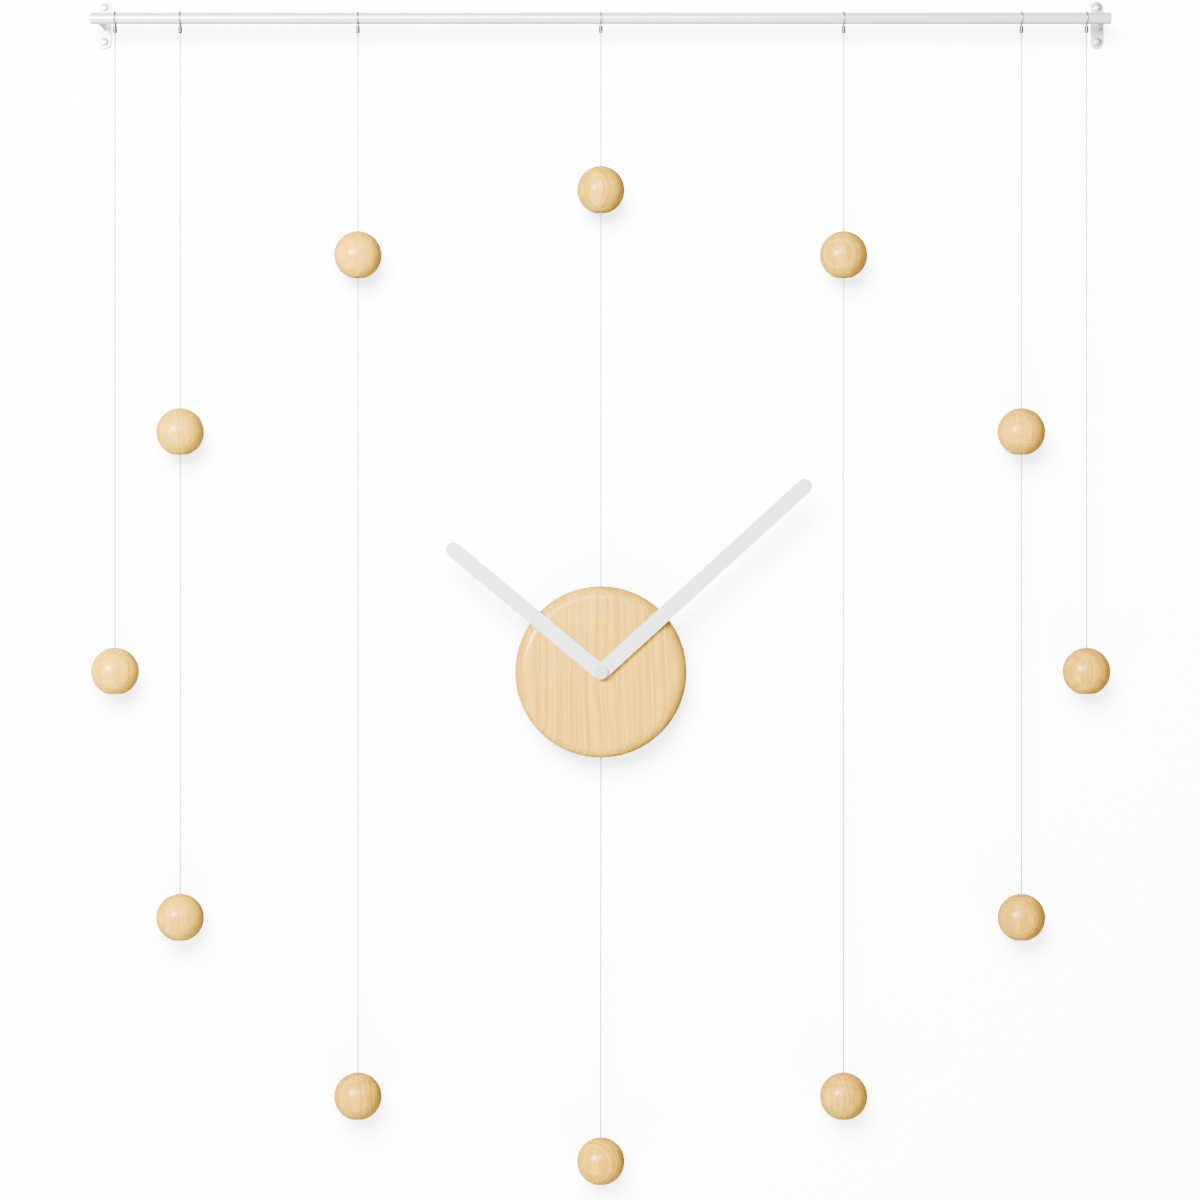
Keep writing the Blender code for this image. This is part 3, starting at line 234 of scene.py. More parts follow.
def beech_grain_group():
    """Straight-grained beech with the grain along Z: streaks, soft bands, faint rings and short flecks."""
    tree, given, result = new_group(
        "beech_grain",
        [
            ("Place", "Vector", (0, 0, 0)),
            ("Pale", "Color", (0.82, 0.50, 0.050, 1)),
            ("Deep", "Color", (0.58, 0.30, 0.020, 1)),
        ],
        [("Color", "Color"), ("Roughness", "Float"), ("Height", "Float")],
    )
    lean = node(
        tree,
        "ShaderNodeVectorRotate",
        {"Vector": given["Place"], "Angle": math.radians(1.5)},
        rotation_type="Y_AXIS",
    )
    drift = noise(tree, lean.outputs["Vector"], (24, 24, 11), 1.0)
    shift = node(tree, "ShaderNodeCombineXYZ", {"X": sums(tree, "MULTIPLY", drift, 0.006), "Y": 0, "Z": 0})
    wandered = {0: lean.outputs["Vector"], 1: shift.outputs["Vector"]}
    place = node(tree, "ShaderNodeVectorMath", wandered, operation="ADD").outputs["Vector"]
    across = scaled(tree, place, (1, 1, 0.05))
    pith = node(tree, "ShaderNodeVectorMath", {0: across, 1: (0.061, 0.038, 0)}, operation="DISTANCE")
    from_pith = node(tree, "ShaderNodeCombineXYZ", {"X": pith.outputs["Value"], "Y": 0, "Z": 0})
    rings = noise(tree, from_pith.outputs["Vector"], (520, 1, 1), 2.0)
    streaks = noise(tree, place, (950, 950, 13), 3.0, 0.6)
    bands = noise(tree, place, (170, 170, 5), 2.0)
    pores = noise(tree, place, (2800, 2800, 75), 2.0, 0.6)
    flecks = spread(tree, noise(tree, place, (1300, 2300, 330), 1.0), 0.64, 0.80)
    tone = sums(tree, "ADD", sums(tree, "MULTIPLY", rings, 0.32), sums(tree, "MULTIPLY", streaks, 0.34))
    tone = sums(tree, "ADD", tone, sums(tree, "MULTIPLY", bands, 0.26))
    tone = sums(tree, "ADD", tone, sums(tree, "MULTIPLY", pores, 0.16))
    wood = blended(tree, spread(tree, tone, 0.46, 0.62), given["Pale"], given["Deep"])
    wood = blended(tree, sums(tree, "MULTIPLY", flecks, 0.30), wood, (0.36, 0.15, 0.008, 1))
    tree.links.new(wood, result["Color"])
    tree.links.new(spread(tree, streaks, 0.2, 0.8, 0.34, 0.50), result["Roughness"])
    tree.links.new(sums(tree, "SUBTRACT", streaks, sums(tree, "MULTIPLY", pores, 0.6)), result["Height"])
    return tree


def texture_group():
    """Fine even texture, as on paint and moulded plastic, with broad faint patches from handling."""
    tree, given, result = new_group(
        "fine_texture",
        [("Place", "Vector", (0, 0, 0)), ("Size", "Float", 0.0005)],
        [("Mask", "Float"), ("Patches", "Float"), ("Height", "Float")],
    )
    fine = noise(tree, given["Place"], sums(tree, "DIVIDE", 1.0, given["Size"]), 3.0, 0.6)
    tree.links.new(spread(tree, fine, 0.3, 0.7), result["Mask"])
    tree.links.new(spread(tree, noise(tree, given["Place"], (38, 38, 38), 3.0), 0.3, 0.7), result["Patches"])
    tree.links.new(fine, result["Height"])
    return tree


def strand_group():
    """The twisted strands of a wire rope that runs along Z through the piece's origin."""
    tree, given, result = new_group(
        "twisted_strands",
        [("Place", "Vector", (0, 0, 0)), ("Strands", "Float", 6.0), ("Lay", "Float", 0.0065)],
        [("Mask", "Float"), ("Height", "Float")],
    )
    place = node(tree, "ShaderNodeSeparateXYZ", {"Vector": given["Place"]}).outputs
    round_angle = sums(tree, "ARCTAN2", place["Y"], place["X"])
    along = sums(tree, "DIVIDE", sums(tree, "MULTIPLY", place["Z"], 2 * math.pi), given["Lay"])
    turn = sums(tree, "MULTIPLY", sums(tree, "ADD", round_angle, along), given["Strands"])
    crown = sums(tree, "ABSOLUTE", sums(tree, "SINE", sums(tree, "MULTIPLY", turn, 0.5), 0), 0)
    # Mask is low in the grooves between the strands, where rope_metal paints shade.
    tree.links.new(spread(tree, crown, 0.0, 0.5), result["Mask"])
    tree.links.new(crown, result["Height"])
    return tree


def drawn_group():
    """Fine lines along one axis, as on drawn, rolled or turned metal. Scale is large across them."""
    tree, given, result = new_group(
        "drawn_lines",
        [("Place", "Vector", (0, 0, 0)), ("Scale", "Vector", (4000, 4000, 60))],
        [("Mask", "Float"), ("Height", "Float")],
    )
    lines = noise(tree, given["Place"], given["Scale"], 3.0, 0.65)
    tree.links.new(spread(tree, lines, 0.3, 0.7), result["Mask"])
    tree.links.new(lines, result["Height"])
    return tree


BEECH_GRAIN = beech_grain_group()
FINE_TEXTURE = texture_group()
DRAWN_LINES = drawn_group()
TWISTED_STRANDS = strand_group()


def new_material(name, **values):
    """A material with its Principled shader's plain values, and the piece's own coordinates."""
    made = bpy.data.materials.new(name)
    made.use_nodes = True
    tree = made.node_tree
    shader = tree.nodes["Principled BSDF"]
    for socket, value in values.items():
        shader.inputs[socket.replace("_", " ")].default_value = value
    place = tree.nodes.new("ShaderNodeTexCoord").outputs["Object"]
    return made, tree, shader, place


def use_group(tree, group, **inputs):
    return node(tree, "ShaderNodeGroup", inputs, node_tree=group).outputs


def bump(tree, shader, height, strength, distance):
    inputs = {"Height": height, "Strength": strength, "Distance": distance}
    tree.links.new(node(tree, "ShaderNodeBump", inputs).outputs["Normal"], shader.inputs["Normal"])


def beech(name, pale, deep):
    """Satin-lacquered beech."""
    lacquer = {"Coat_Weight": 0.45, "Coat_Roughness": 0.21, "Specular_IOR_Level": 0.10}
    made, tree, shader, place = new_material(name, **lacquer)
    grain = use_group(tree, BEECH_GRAIN, Place=place, Pale=pale, Deep=deep)
    tree.links.new(grain["Color"], shader.inputs["Base Color"])
    tree.links.new(grain["Roughness"], shader.inputs["Roughness"])
    bump(tree, shader, grain["Height"], 0.12, 0.0002)
    return made


def textured(name, dark, light, size, rough, strength=0.15, **values):
    """Paint or moulded plastic: an even fine texture, and faint patches in its gloss."""
    made, tree, shader, place = new_material(name, **values)
    fine = use_group(tree, FINE_TEXTURE, Place=place, Size=size)
    tree.links.new(blended(tree, fine["Mask"], (*dark, 1), (*light, 1)), shader.inputs["Base Color"])
    tree.links.new(spread(tree, fine["Patches"], 0.0, 1.0, *rough), shader.inputs["Roughness"])
    bump(tree, shader, fine["Height"], strength, size * 0.4)
    return made


def drawn_metal(name, dark, light, scale, rough, strength=0.1, **values):
    """Metal with fine lines from drawing, rolling or turning."""
    made, tree, shader, place = new_material(name, Metallic=1.0, **values)
    lines = use_group(tree, DRAWN_LINES, Place=place, Scale=scale)
    tree.links.new(blended(tree, lines["Mask"], (*dark, 1), (*light, 1)), shader.inputs["Base Color"])
    tree.links.new(spread(tree, lines["Mask"], 0.0, 1.0, *rough), shader.inputs["Roughness"])
    bump(tree, shader, lines["Height"], strength, 0.00003)
    return made


def rope_metal(name):
    """Wire rope of fine drawn strands, with painted shade: its colour is near-black in the grooves between
    them.
    """
    made, tree, shader, place = new_material(name, Metallic=1.0, Roughness=0.30)
    twist = use_group(tree, TWISTED_STRANDS, Place=place, Strands=float(STRANDS), Lay=STRAND_LAY)
    # Painted shade: near-black steel colour in the grooves between the strands, paler on their crowns.
    colour = blended(tree, twist["Mask"], (0.08, 0.08, 0.085, 1), (0.40, 0.40, 0.42, 1))
    tree.links.new(colour, shader.inputs["Base Color"])
    bump(tree, shader, twist["Height"], 0.8, 0.00008)
    return made


BEECH_DISC = beech("beech_disc", (0.75, 0.418, 0.010, 1), (0.49, 0.250, 0.006, 1))
BEECH_BALLS = [
    beech("beech_ball_pale", (0.85, 0.478, 0.014, 1), (0.57, 0.305, 0.008, 1)),
    beech("beech_ball_middle", (0.77, 0.422, 0.012, 1), (0.50, 0.258, 0.007, 1)),
    beech("beech_ball_deep", (0.72, 0.392, 0.011, 1), (0.47, 0.238, 0.006, 1)),
]
COAT = textured("satin_coat", (0.79, 0.79, 0.79), (0.85, 0.85, 0.85), 0.0004, (0.28, 0.36), Metallic=0.4)
LACQUER = textured("hand_lacquer", (0.62, 0.62, 0.625), (0.66, 0.66, 0.665), 0.0006, (0.40, 0.50), 0.08)
CAP_LACQUER = textured("cap_lacquer", (0.45, 0.46, 0.48), (0.50, 0.51, 0.53), 0.0005, (0.30, 0.40), 0.08)
ROPE = rope_metal("wire_rope")
ZINC = drawn_metal("bright_zinc", (0.72, 0.72, 0.73), (0.90, 0.90, 0.91), (2500, 600, 2500), (0.34, 0.46))
NICKEL = drawn_metal(
    "dull_nickel", (0.14, 0.14, 0.145), (0.20, 0.20, 0.205), (900, 900, 200), (0.28, 0.36), 0.05
)
STEEL = drawn_metal("drawn_steel", (0.34, 0.35, 0.37), (0.50, 0.51, 0.53), (6000, 6000, 60), (0.22, 0.36))
IRON = drawn_metal("rolled_iron", (0.40, 0.40, 0.41), (0.58, 0.58, 0.59), (90, 2500, 2500), (0.30, 0.45))
BRASS = drawn_metal("rolled_brass", (0.60, 0.42, 0.16), (0.82, 0.62, 0.30), (90, 2500, 2500), (0.22, 0.38))
WINDING = drawn_metal(
    "copper_winding", (0.45, 0.15, 0.06), (0.85, 0.38, 0.16), (9000, 200, 200), (0.2, 0.35), 0.6
)
MAGNET = textured("magnet", (0.07, 0.07, 0.075), (0.12, 0.12, 0.125), 0.0002, (0.35, 0.55), Metallic=0.7)
CASE = textured("case_plastic", (0.010, 0.010, 0.011), (0.018, 0.018, 0.019), 0.00035, (0.42, 0.60), 0.35)
ACETAL = textured("gear_acetal", (0.74, 0.73, 0.68), (0.82, 0.81, 0.77), 0.0008, (0.38, 0.50))
BOARD = textured("board_mask", (0.01, 0.07, 0.03), (0.02, 0.12, 0.05), 0.0007, (0.25, 0.45))
SLEEVE = textured("battery_sleeve", (0.02, 0.05, 0.12), (0.025, 0.06, 0.14), 0.0015, (0.22, 0.34), 0.03)


# ---------------------------------------------------------------- making shapes


def link(thing, material, body, slot, *replaced):
    """Gives a piece its material and its body, and hides the CAD nodes that it stands for. slot, its finish,
    is not used.
    """
    bpy.context.scene.collection.objects.link(thing)
    thing.data.materials.append(material)
    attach(thing, body)
    if replaced:
        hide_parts(*replaced)
    return thing


def finished_mesh(name, shape, angle=35):
    bmesh.ops.recalc_face_normals(shape, faces=shape.faces)
    mesh = bpy.data.meshes.new(name)
    shape.to_mesh(mesh)
    shape.free()
    mesh.shade_smooth()
    mesh.set_sharp_from_angle(angle=math.radians(angle))
    return mesh


def arc(centre, radius, start, end, steps):
    """Points on an arc in a profile, with angles in degrees from the first axis."""
    turns = [math.radians(start + (end - start) * k / steps) for k in range(steps + 1)]
    return [(centre[0] + radius * math.cos(t), centre[1] + radius * math.sin(t)) for t in turns]


def turned_shape(profile, steps, matrix=None):
    """A solid turned round Z from (radius, height) points, in a bmesh."""
    shape = bmesh.new()
    corners = [shape.verts.new((radius, 0, height)) for radius, height in profile]
    edges = [shape.edges.new(pair) for pair in zip(corners, corners[1:])]
    if profile[0][0] > 0:
        edges.append(shape.edges.new((corners[-1], corners[0])))
    bmesh.ops.spin(
        shape, geom=corners + edges, axis=(0, 0, 1), cent=(0, 0, 0), steps=steps, angle=2 * math.pi
    )
    bmesh.ops.remove_doubles(shape, verts=shape.verts, dist=0.000001)
    if matrix:
        bmesh.ops.transform(shape, matrix=matrix, verts=shape.verts)
    return shape


def turned(name, profile, steps, at, matrix=None, angle=35):
    thing = bpy.data.objects.new(name, finished_mesh(name, turned_shape(profile, steps, matrix), angle))
    thing.location = at
    return thing


def move_origin(thing, offset):
    """Moves a piece's origin and leaves its shape in place, so each piece has its own grain."""
    thing.data.transform(Matrix.Translation(-Vector(offset)))
    thing.location += Vector(offset)


def round_ring(x, z, radius, steps=40):
    return arc((x, z), radius, 0, 360 * (steps - 1) / steps, steps - 1)


def round_cornered(x, z, half_x, half_z, corner, steps):
    """The outline of a box with round corners."""
    ring = []
    for start, side_x, side_z in ((0, 1, 1), (90, -1, 1), (180, -1, -1), (270, 1, -1)):
        centre = (x + side_x * (half_x - corner), z + side_z * (half_z - corner))
        ring += arc(centre, corner, start, start + 90, steps)
    return ring


def close_sides(shape, rings):
    """Joins rings of corners into one closed skin."""
    for near, far in zip(rings, rings[1:]):
        for k in range(len(near)):
            shape.faces.new((near[k - 1], near[k], far[k], far[k - 1]))
    shape.faces.new(rings[0])
    shape.faces.new(rings[-1])


FORWARD = Matrix.Rotation(math.pi / 2, 4, "X")
BACKWARD = Matrix.Rotation(-math.pi / 2, 4, "X")
SIDEWAYS = Matrix.Rotation(math.pi / 2, 4, "Y")


def cutter(name, shape, at):
    """A solid that cut() takes away from a piece."""
    mesh = bpy.data.meshes.new(name)
    bmesh.ops.recalc_face_normals(shape, faces=shape.faces)
    shape.to_mesh(mesh)
    shape.free()
    tool = bpy.data.objects.new(name, mesh)
    tool.location = at
    bpy.context.scene.collection.objects.link(tool)
    return tool


def round_tool(name, radius, reach, at, steps, matrix=None):
    """A round cutter that reaches as far on both sides of its place."""
    profile = [(0, reach), (radius, reach), (radius, -reach), (0, -reach)]
    return cutter(name, turned_shape(profile, steps, matrix), at)


def cut(thing, tools, angle=35):
    """Cuts the tools out of a linked piece, and removes them."""
    for tool in tools:
        change = thing.modifiers.new("cut", "BOOLEAN")
        change.operation = "DIFFERENCE"
        change.object = tool
        change.solver = "EXACT"
    bpy.context.view_layer.update()
    graph = bpy.context.evaluated_depsgraph_get()
    made = bpy.data.meshes.new_from_object(thing.evaluated_get(graph))
    thing.modifiers.clear()
    material = thing.data.materials[0]
    thing.data = made
    made.materials.clear()
    made.materials.append(material)
    made.shade_smooth()
    made.set_sharp_from_angle(angle=math.radians(angle))
    for tool in tools:
        bpy.data.objects.remove(tool, do_unlink=True)


def plate(name, rings, front, back, edge):
    """A sheet-metal or moulded plate in the plane of the disc, with softened edges."""
    curve = bpy.data.curves.new(name, "CURVE")
    curve.dimensions = "2D"
    curve.fill_mode = "BOTH"
    curve.extrude = (back - front) / 2 - edge
    curve.bevel_depth = edge
    curve.offset = -edge
    curve.bevel_resolution = 2
    for ring in rings:
        spline = curve.splines.new("POLY")
        spline.points.add(len(ring) - 1)
        for corner, (x, z) in zip(spline.points, ring):
            corner.co = (x, z, 0, 1)
        spline.use_cyclic_u = True
    thing = bpy.data.objects.new(name, curve)
    thing.location = (0, (front + back) / 2, 0)
    thing.rotation_euler = (math.pi / 2, 0, 0)
    return thing


def bent_wire(name, points, radius):
    curve = bpy.data.curves.new(name, "CURVE")
    curve.dimensions = "3D"
    curve.bevel_depth = radius
    curve.bevel_resolution = 3
    curve.use_fill_caps = True
    spline = curve.splines.new("POLY")
    spline.points.add(len(points) - 1)
    for corner, point in zip(spline.points, points):
        corner.co = (*point, 1)
    spline.use_smooth = True
    return bpy.data.objects.new(name, curve)


# ---------------------------------------------------------------- lines and balls


def make_wire(name, node_name, body, stops):
    """One straight wire. The stops that are swaged on it are made by their own calls; stops is not used."""
    start, end = high(node_name), low(node_name)
    x, y = middle(node_name).x, ROD_Y
    steps = 18
    points = [(0, 0, (end.z - start.z) * k / steps) for k in range(steps + 1)]
    wire = bent_wire(name, points, WIRE_RADIUS)
    wire.location = (x, y, start.z)
    link(wire, ROPE, body, "steel_wire", node_name)


def make_stop(name, x, top, body):
    """A swaged stop with softened ends and a waist where the press closed on it."""
    half, edge = STOP_LENGTH / 2, 0.00025
    profile = [(WIRE_RADIUS, half)]
    profile += arc((STOP_RADIUS - edge, half - edge), edge, 90, 0, 4)
    profile += [(STOP_RADIUS - 0.00012, 0.0004), (STOP_RADIUS - 0.00012, -0.0004)]
    profile += arc((STOP_RADIUS - edge, edge - half), edge, 0, -90, 4)
    profile += [(WIRE_RADIUS, -half)]
    return link(turned(name, profile, 32, (x, ROD_Y, top - half)), ZINC, body, "steel_wire")


def ball_profile():
    flat_drop = math.sqrt(BALL_RADIUS**2 - BALL_FLAT_RADIUS**2)
    edge = 0.00035
    start = math.degrees(math.acos((BALL_BORE_RADIUS + edge) / BALL_RADIUS))
    end = math.degrees(math.asin(flat_drop / BALL_RADIUS)) - 1.2
    ceiling = -flat_drop + COUNTERBORE_DEPTH
    profile = [(BALL_BORE_RADIUS, BALL_RADIUS - 0.0004)]
    profile += arc((0, 0), BALL_RADIUS, start, -end, 72)
    profile += [(BALL_FLAT_RADIUS - 0.0001, -flat_drop), (COUNTERBORE_RADIUS + edge, -flat_drop)]
    profile += [(COUNTERBORE_RADIUS, -flat_drop + edge), (COUNTERBORE_RADIUS, ceiling)]
    return profile + [(BALL_BORE_RADIUS, ceiling)]


def make_ball(hour, body):
    """A turned ball with its flat underneath, the counterbore for the stop and a fine bore."""
    centre = ball_centre(hour)
    ball = turned(f"turned_ball_{hour}", ball_profile(), 112, centre)
    move_origin(ball, (0.05 * math.cos(2.4 * hour), 0.05 * math.sin(2.4 * hour), 0.04 * hour))
    link(ball, BEECH_BALLS[BALL_TONES[hour - 1]], body, "beech", f"ball_{hour}")
    stop_top = centre.z - math.sqrt(BALL_RADIUS**2 - BALL_FLAT_RADIUS**2) + COUNTERBORE_DEPTH - GAP
    return make_stop(f"stop_{hour}", centre.x, stop_top, body)


def make_ferrule(line):
    """The oval sleeve, pressed in two places, that closes the loop."""
    node_name, body = f"eye_{line}", f"loop_{line}"
    x = middle(node_name).x
    bottom, top = low(node_name).z, low(node_name).z + FERRULE_LENGTH
    half_width, half_depth = (high(node_name).x - low(node_name).x) / 2, FERRULE_DEPTH / 2
    edge, dent_depth = 0.0005, 0.00016
    shape = bmesh.new()
    steps, rows = 40, 36
    rings = []
    for row in range(rows + 1):
        share = row / rows
        end = min(share, 1 - share) * (top - bottom)
        inset = edge * (1 - math.sqrt(max(0, 1 - (1 - min(end / edge, 1)) ** 2)))
        press = sum(dent_depth * math.exp(-(((share - dent) / 0.07) ** 2)) for dent in (0.33, 0.67))
        across, deep = half_width - inset + press * 0.4, half_depth - inset - press
        turns = [2 * math.pi * k / steps for k in range(steps)]
        places = [(across * math.cos(t), deep * math.sin(t), bottom + share * (top - bottom)) for t in turns]
        rings.append([shape.verts.new(place) for place in places])
    close_sides(shape, rings)
    ferrule = bpy.data.objects.new(f"ferrule_{line}", finished_mesh(f"ferrule_{line}", shape, 50))
    ferrule.location = (x, ROD_Y, 0)
    link(ferrule, NICKEL, body, "chrome_ferrule", node_name)
    make_loop(line, x, bottom, top)


def make_loop(line, x, bottom, top):
    """The wire over the rod, with both of its strands in the ferrule, and the wire's end under it."""
    node_name, body = f"eye_{line}", f"loop_{line}"
    leave = 28      # degrees from straight down, where the wire leaves the rod
    ring = arc((0, 0), LOOP_RADIUS, leave - 90, 270 - leave, 64)
    side = [(STRAND_OFFSET, top - 0.001), (STRAND_OFFSET, top + 0.00005)]
    near = ring[0]
    side += [
        (STRAND_OFFSET + (near[0] - STRAND_OFFSET) * s * s, top + (near[1] - top) * s)
        for s in (0.25, 0.5, 0.75)
    ]
    path = side + ring + [(-across, z) for across, z in reversed(side)]
    loop = bent_wire(f"wire_loop_{line}", [(x, ROD_Y + across, z) for across, z in path], WIRE_RADIUS)
    link(loop, STEEL, body, "steel_wire", node_name)
    tail = [(x, ROD_Y, bottom + 0.001), (x, ROD_Y, bottom - 0.0002)]
    link(bent_wire(f"wire_end_{line}", tail, WIRE_RADIUS * 0.94), STEEL, body, "steel_wire")


def make_lines():
    """All the lines, with the lowest ball's own wire and its stop inside the disc."""
    for line, hours in LINES.items():
        body = f"line_{line}"
        make_ferrule(line)
        stops = [make_ball(hour, body) for hour in hours]
        if line == 12:
            stops.append(make_stop("stop_in_disc", 0, low("wire_12").z + 0.0009 + STOP_LENGTH, body))
        make_wire(f"steel_wire_{line}", f"wire_{line}", body, stops)
    make_wire("steel_wire_6", "wire_6", "tail_6", [make_ball(6, "tail_6")])
    make_stop("anchor_stop", 0, high("anchor_6").z - 0.0007, "line_12")
    points = [(0, ROD_Y, high("anchor_6").z), (0, ROD_Y, low("anchor_6").z)]
    link(bent_wire("anchor_wire", points, WIRE_RADIUS), STEEL, "line_12", "steel_wire", "anchor_6")


# ---------------------------------------------------------------- hanger


def make_rod():
    end, edge = high("rod").x, 0.0006
    profile = [(0, end)] + arc((ROD_RADIUS - edge, end - edge), edge, 90, 0, 5)
    profile += [(radius, -height) for radius, height in reversed(profile)]
    rod = turned("coated_rod", profile, 72, (0, ROD_Y, 0), SIDEWAYS)
    link(rod, COAT, "hanger", "coated_steel", "rod")


def make_bracket(name):
    """A plate with round ends, screwed to the wall, and the arm with its saddle welded on it."""
    centre = middle(f"wall_screw_{name}_top")
    box_low, box_high = low(f"bracket_{name}"), high(f"bracket_{name}")
    x, half_width = centre.x, (box_high.x - box_low.x) / 2
    straight = box_high.z - half_width
    outline = arc((x, straight), half_width, 0, 180, 24) + arc((x, -straight), half_width, 180, 360, 24)
    rings = [outline] + [round_ring(x, z, PLATE_HOLE_RADIUS) for z in (centre.z, -centre.z)]
    thing = plate(f"wall_plate_{name}", rings, -PLATE_THICKNESS, 0, 0.00025)
    link(thing, COAT, "hanger", "coated_steel", f"bracket_{name}")
    shape = bmesh.new()
    bmesh.ops.create_cube(shape, size=1.0)
    front, back = box_low.y, 0.0005 - PLATE_THICKNESS
    bmesh.ops.scale(shape, vec=(ARM_THICKNESS, back - front, ARM_HEIGHT), verts=shape.verts)
    arm = bpy.data.objects.new(f"bracket_arm_{name}", finished_mesh(f"bracket_arm_{name}", shape))
    arm.location = (x, (front + back) / 2, 0)
    link(arm, COAT, "hanger", "coated_steel", f"bracket_{name}")
    cut(arm, [round_tool("saddle_tool", ROD_RADIUS + GAP, 0.01, (x, ROD_Y, 0), 72, SIDEWAYS)])
    soften = arm.modifiers.new("soften", "BEVEL")
    soften.width = 0.00018
    soften.segments = 2
    soften.limit_method = "ANGLE"
    for side, side_name in ((-1, "left"), (1, "right")):
        bead = [(x + side * 0.0009, -0.0021, z) for z in (-0.0036, 0, 0.0036)]
        weld = bent_wire(f"weld_{name}_{side_name}", bead, 0.00045)
        link(weld, COAT, "hanger", "coated_steel")


def recess_tools(at, reach, width, mouth, depth, towards):
    """Two tapered slots that make a screw's cross recess. towards is the side of the mouth, -1 or 1."""
    tools = []
    for turn in (0, 90):
        shape = bmesh.new()
        bmesh.ops.create_cube(shape, size=2.0)
        for corner in shape.verts:
            outer = corner.co.y * towards > 0
            corner.co.x *= reach if outer else reach * 0.45
            corner.co.z *= width / 2 if outer else width / 3
            corner.co.y *= depth
        matrix = Matrix.Rotation(math.radians(turn), 4, "Y")
        bmesh.ops.transform(shape, matrix=matrix, verts=shape.verts)
        tools.append(cutter("recess_tool", shape, (at[0], mouth, at[2])))
    return tools


def threaded_shank(name, radius, length, pitch, at, direction):
    """A screw's shank with its thread, from the head's seat to the point."""
    shape = bmesh.new()
    steps, rows_a_turn = 28, 8
    rows = int(length / pitch * rows_a_turn)
    rings = []
    for row in range(rows + 1):
        depth = length * row / rows
        taper = min(1.0, (length - depth) / (3 * radius) + 0.06)
        ring = []
        for k in range(steps):
            phase = (depth / pitch - k / steps) % 1.0
            crest = max(0.0, 1 - abs(phase - 0.5) / 0.28)
            reach = radius * (0.72 + 0.28 * crest) * taper
            if depth < 0.001:
                reach = radius * 0.9
            angle = 2 * math.pi * k / steps
            place = (reach * math.cos(angle), direction * depth, reach * math.sin(angle))
            ring.append(shape.verts.new(place))
        rings.append(ring)
    close_sides(shape, rings)
    thing = bpy.data.objects.new(name, finished_mesh(name, shape, 40))
    thing.location = at
    return thing


def make_wall_screw(node_name):
    """A wall screw with a domed head and a cross recess."""
    centre = middle(node_name)
    radius, height = WALL_SCREW_HEAD
    seat = low(node_name).y + height
    profile = [(0, height)] + [
        (radius * math.sin(math.radians(a)) ** 0.9, height * (0.25 + 0.75 * math.cos(math.radians(a)) ** 0.8))
        for a in range(6, 90, 6)
    ]
    profile += [(radius, height * 0.2), (radius, 0.0001), (radius - 0.0001, 0), (0, 0)]
    head = turned(f"head_{node_name}", profile, 56, (centre.x, seat, centre.z), FORWARD)
    link(head, ZINC, "hanger", "zinc_screw", node_name)
    cut(head, recess_tools(centre, radius * 0.66, 0.0010, seat - height - 0.0004, 0.0016, -1))
    shank_radius, pitch = WALL_SCREW_THREAD
    length, at = high(node_name).y - seat, (centre.x, seat, centre.z)
    shank = threaded_shank(f"thread_{node_name}", shank_radius, length, pitch, at, 1)
    link(shank, ZINC, "hanger", "zinc_screw", node_name)


# ---------------------------------------------------------------- disc, hands and cap


def pocket_tool(outline, front, back):
    """A routed pocket with round corners. outline is its half width, half height and corner radius."""
    shape = bmesh.new()
    ring = round_cornered(0, 0, *outline, 8)
    face = shape.faces.new([shape.verts.new((x, front, z)) for x, z in ring])
    moved = bmesh.ops.extrude_face_region(shape, geom=[face])["geom"]
    corners = [part for part in moved if isinstance(part, bmesh.types.BMVert)]
    bmesh.ops.translate(shape, vec=(0, back - front, 0), verts=corners)
    return cutter("pocket_tool", shape, DISC)


def make_disc():
    """The turned disc with its pockets, the wire's bore, the neck's hole and two pilot holes."""
    radius, half = high("disc").x, (high("disc").y - low("disc").y) / 2
    inner, level = radius - DISC_EDGE, half - DISC_EDGE
    profile = [(0, half), (inner * 0.5, half)]
    profile += arc((inner, level), DISC_EDGE, 90, 0, 20)
    profile += arc((inner, -level), DISC_EDGE, 0, -90, 20)
    profile += [(inner * 0.5, -half), (0, -half)]
    disc = turned("turned_disc", profile, 192, DISC, FORWARD)
    link(disc, BEECH_DISC, "line_12", "beech", "disc")
    floor, deep = -half + WEB_THICKNESS, half + 0.004
    tools = [
        pocket_tool(MOVEMENT_POCKET, floor, deep),
        pocket_tool(EAR_POCKET, floor, deep),
        pocket_tool(STOP_POCKET, -0.004, deep),
        round_tool("wire_tool", BALL_BORE_RADIUS, 0.08, DISC, 24),
        round_tool("neck_tool", NECK_HOLE_RADIUS, 0.02, (DISC.x, DISC.y - half - 0.01, DISC.z), 48, FORWARD),
    ]
    for side in ("left", "right"):
        screw = middle(f"movement_screw_{side}")
        at = (screw.x, DISC.y + floor, screw.z)
        tools.append(round_tool("pilot_tool", PILOT_RADIUS, PILOT_DEPTH, at, 32, FORWARD))
    cut(disc, tools)


def make_hand(name, node_name, body, hole):
    """A strip with round ends, lacquered, with its edges softened."""
    box_low, box_high = low(node_name), high(node_name)
    half = HAND_HALF_WIDTH
    side = 1 if box_high.x > -box_low.x else -1
    tip = Vector((side * max(box_high.x, -box_low.x) - side * half, box_high.z - half - SHAFT.z))
    angle = math.degrees(math.atan2(tip.y, tip.x))
    outline = arc((SHAFT.x, SHAFT.z), half, angle + 90, angle + 270, 40)
    outline += arc((tip.x, SHAFT.z + tip.y), half, angle - 90, angle + 90, 40)
    thing = plate(name, [outline, round_ring(SHAFT.x, SHAFT.z, hole)], box_low.y, box_high.y, 0.00012)
    link(thing, LACQUER, body, "hand_lacquer", node_name)


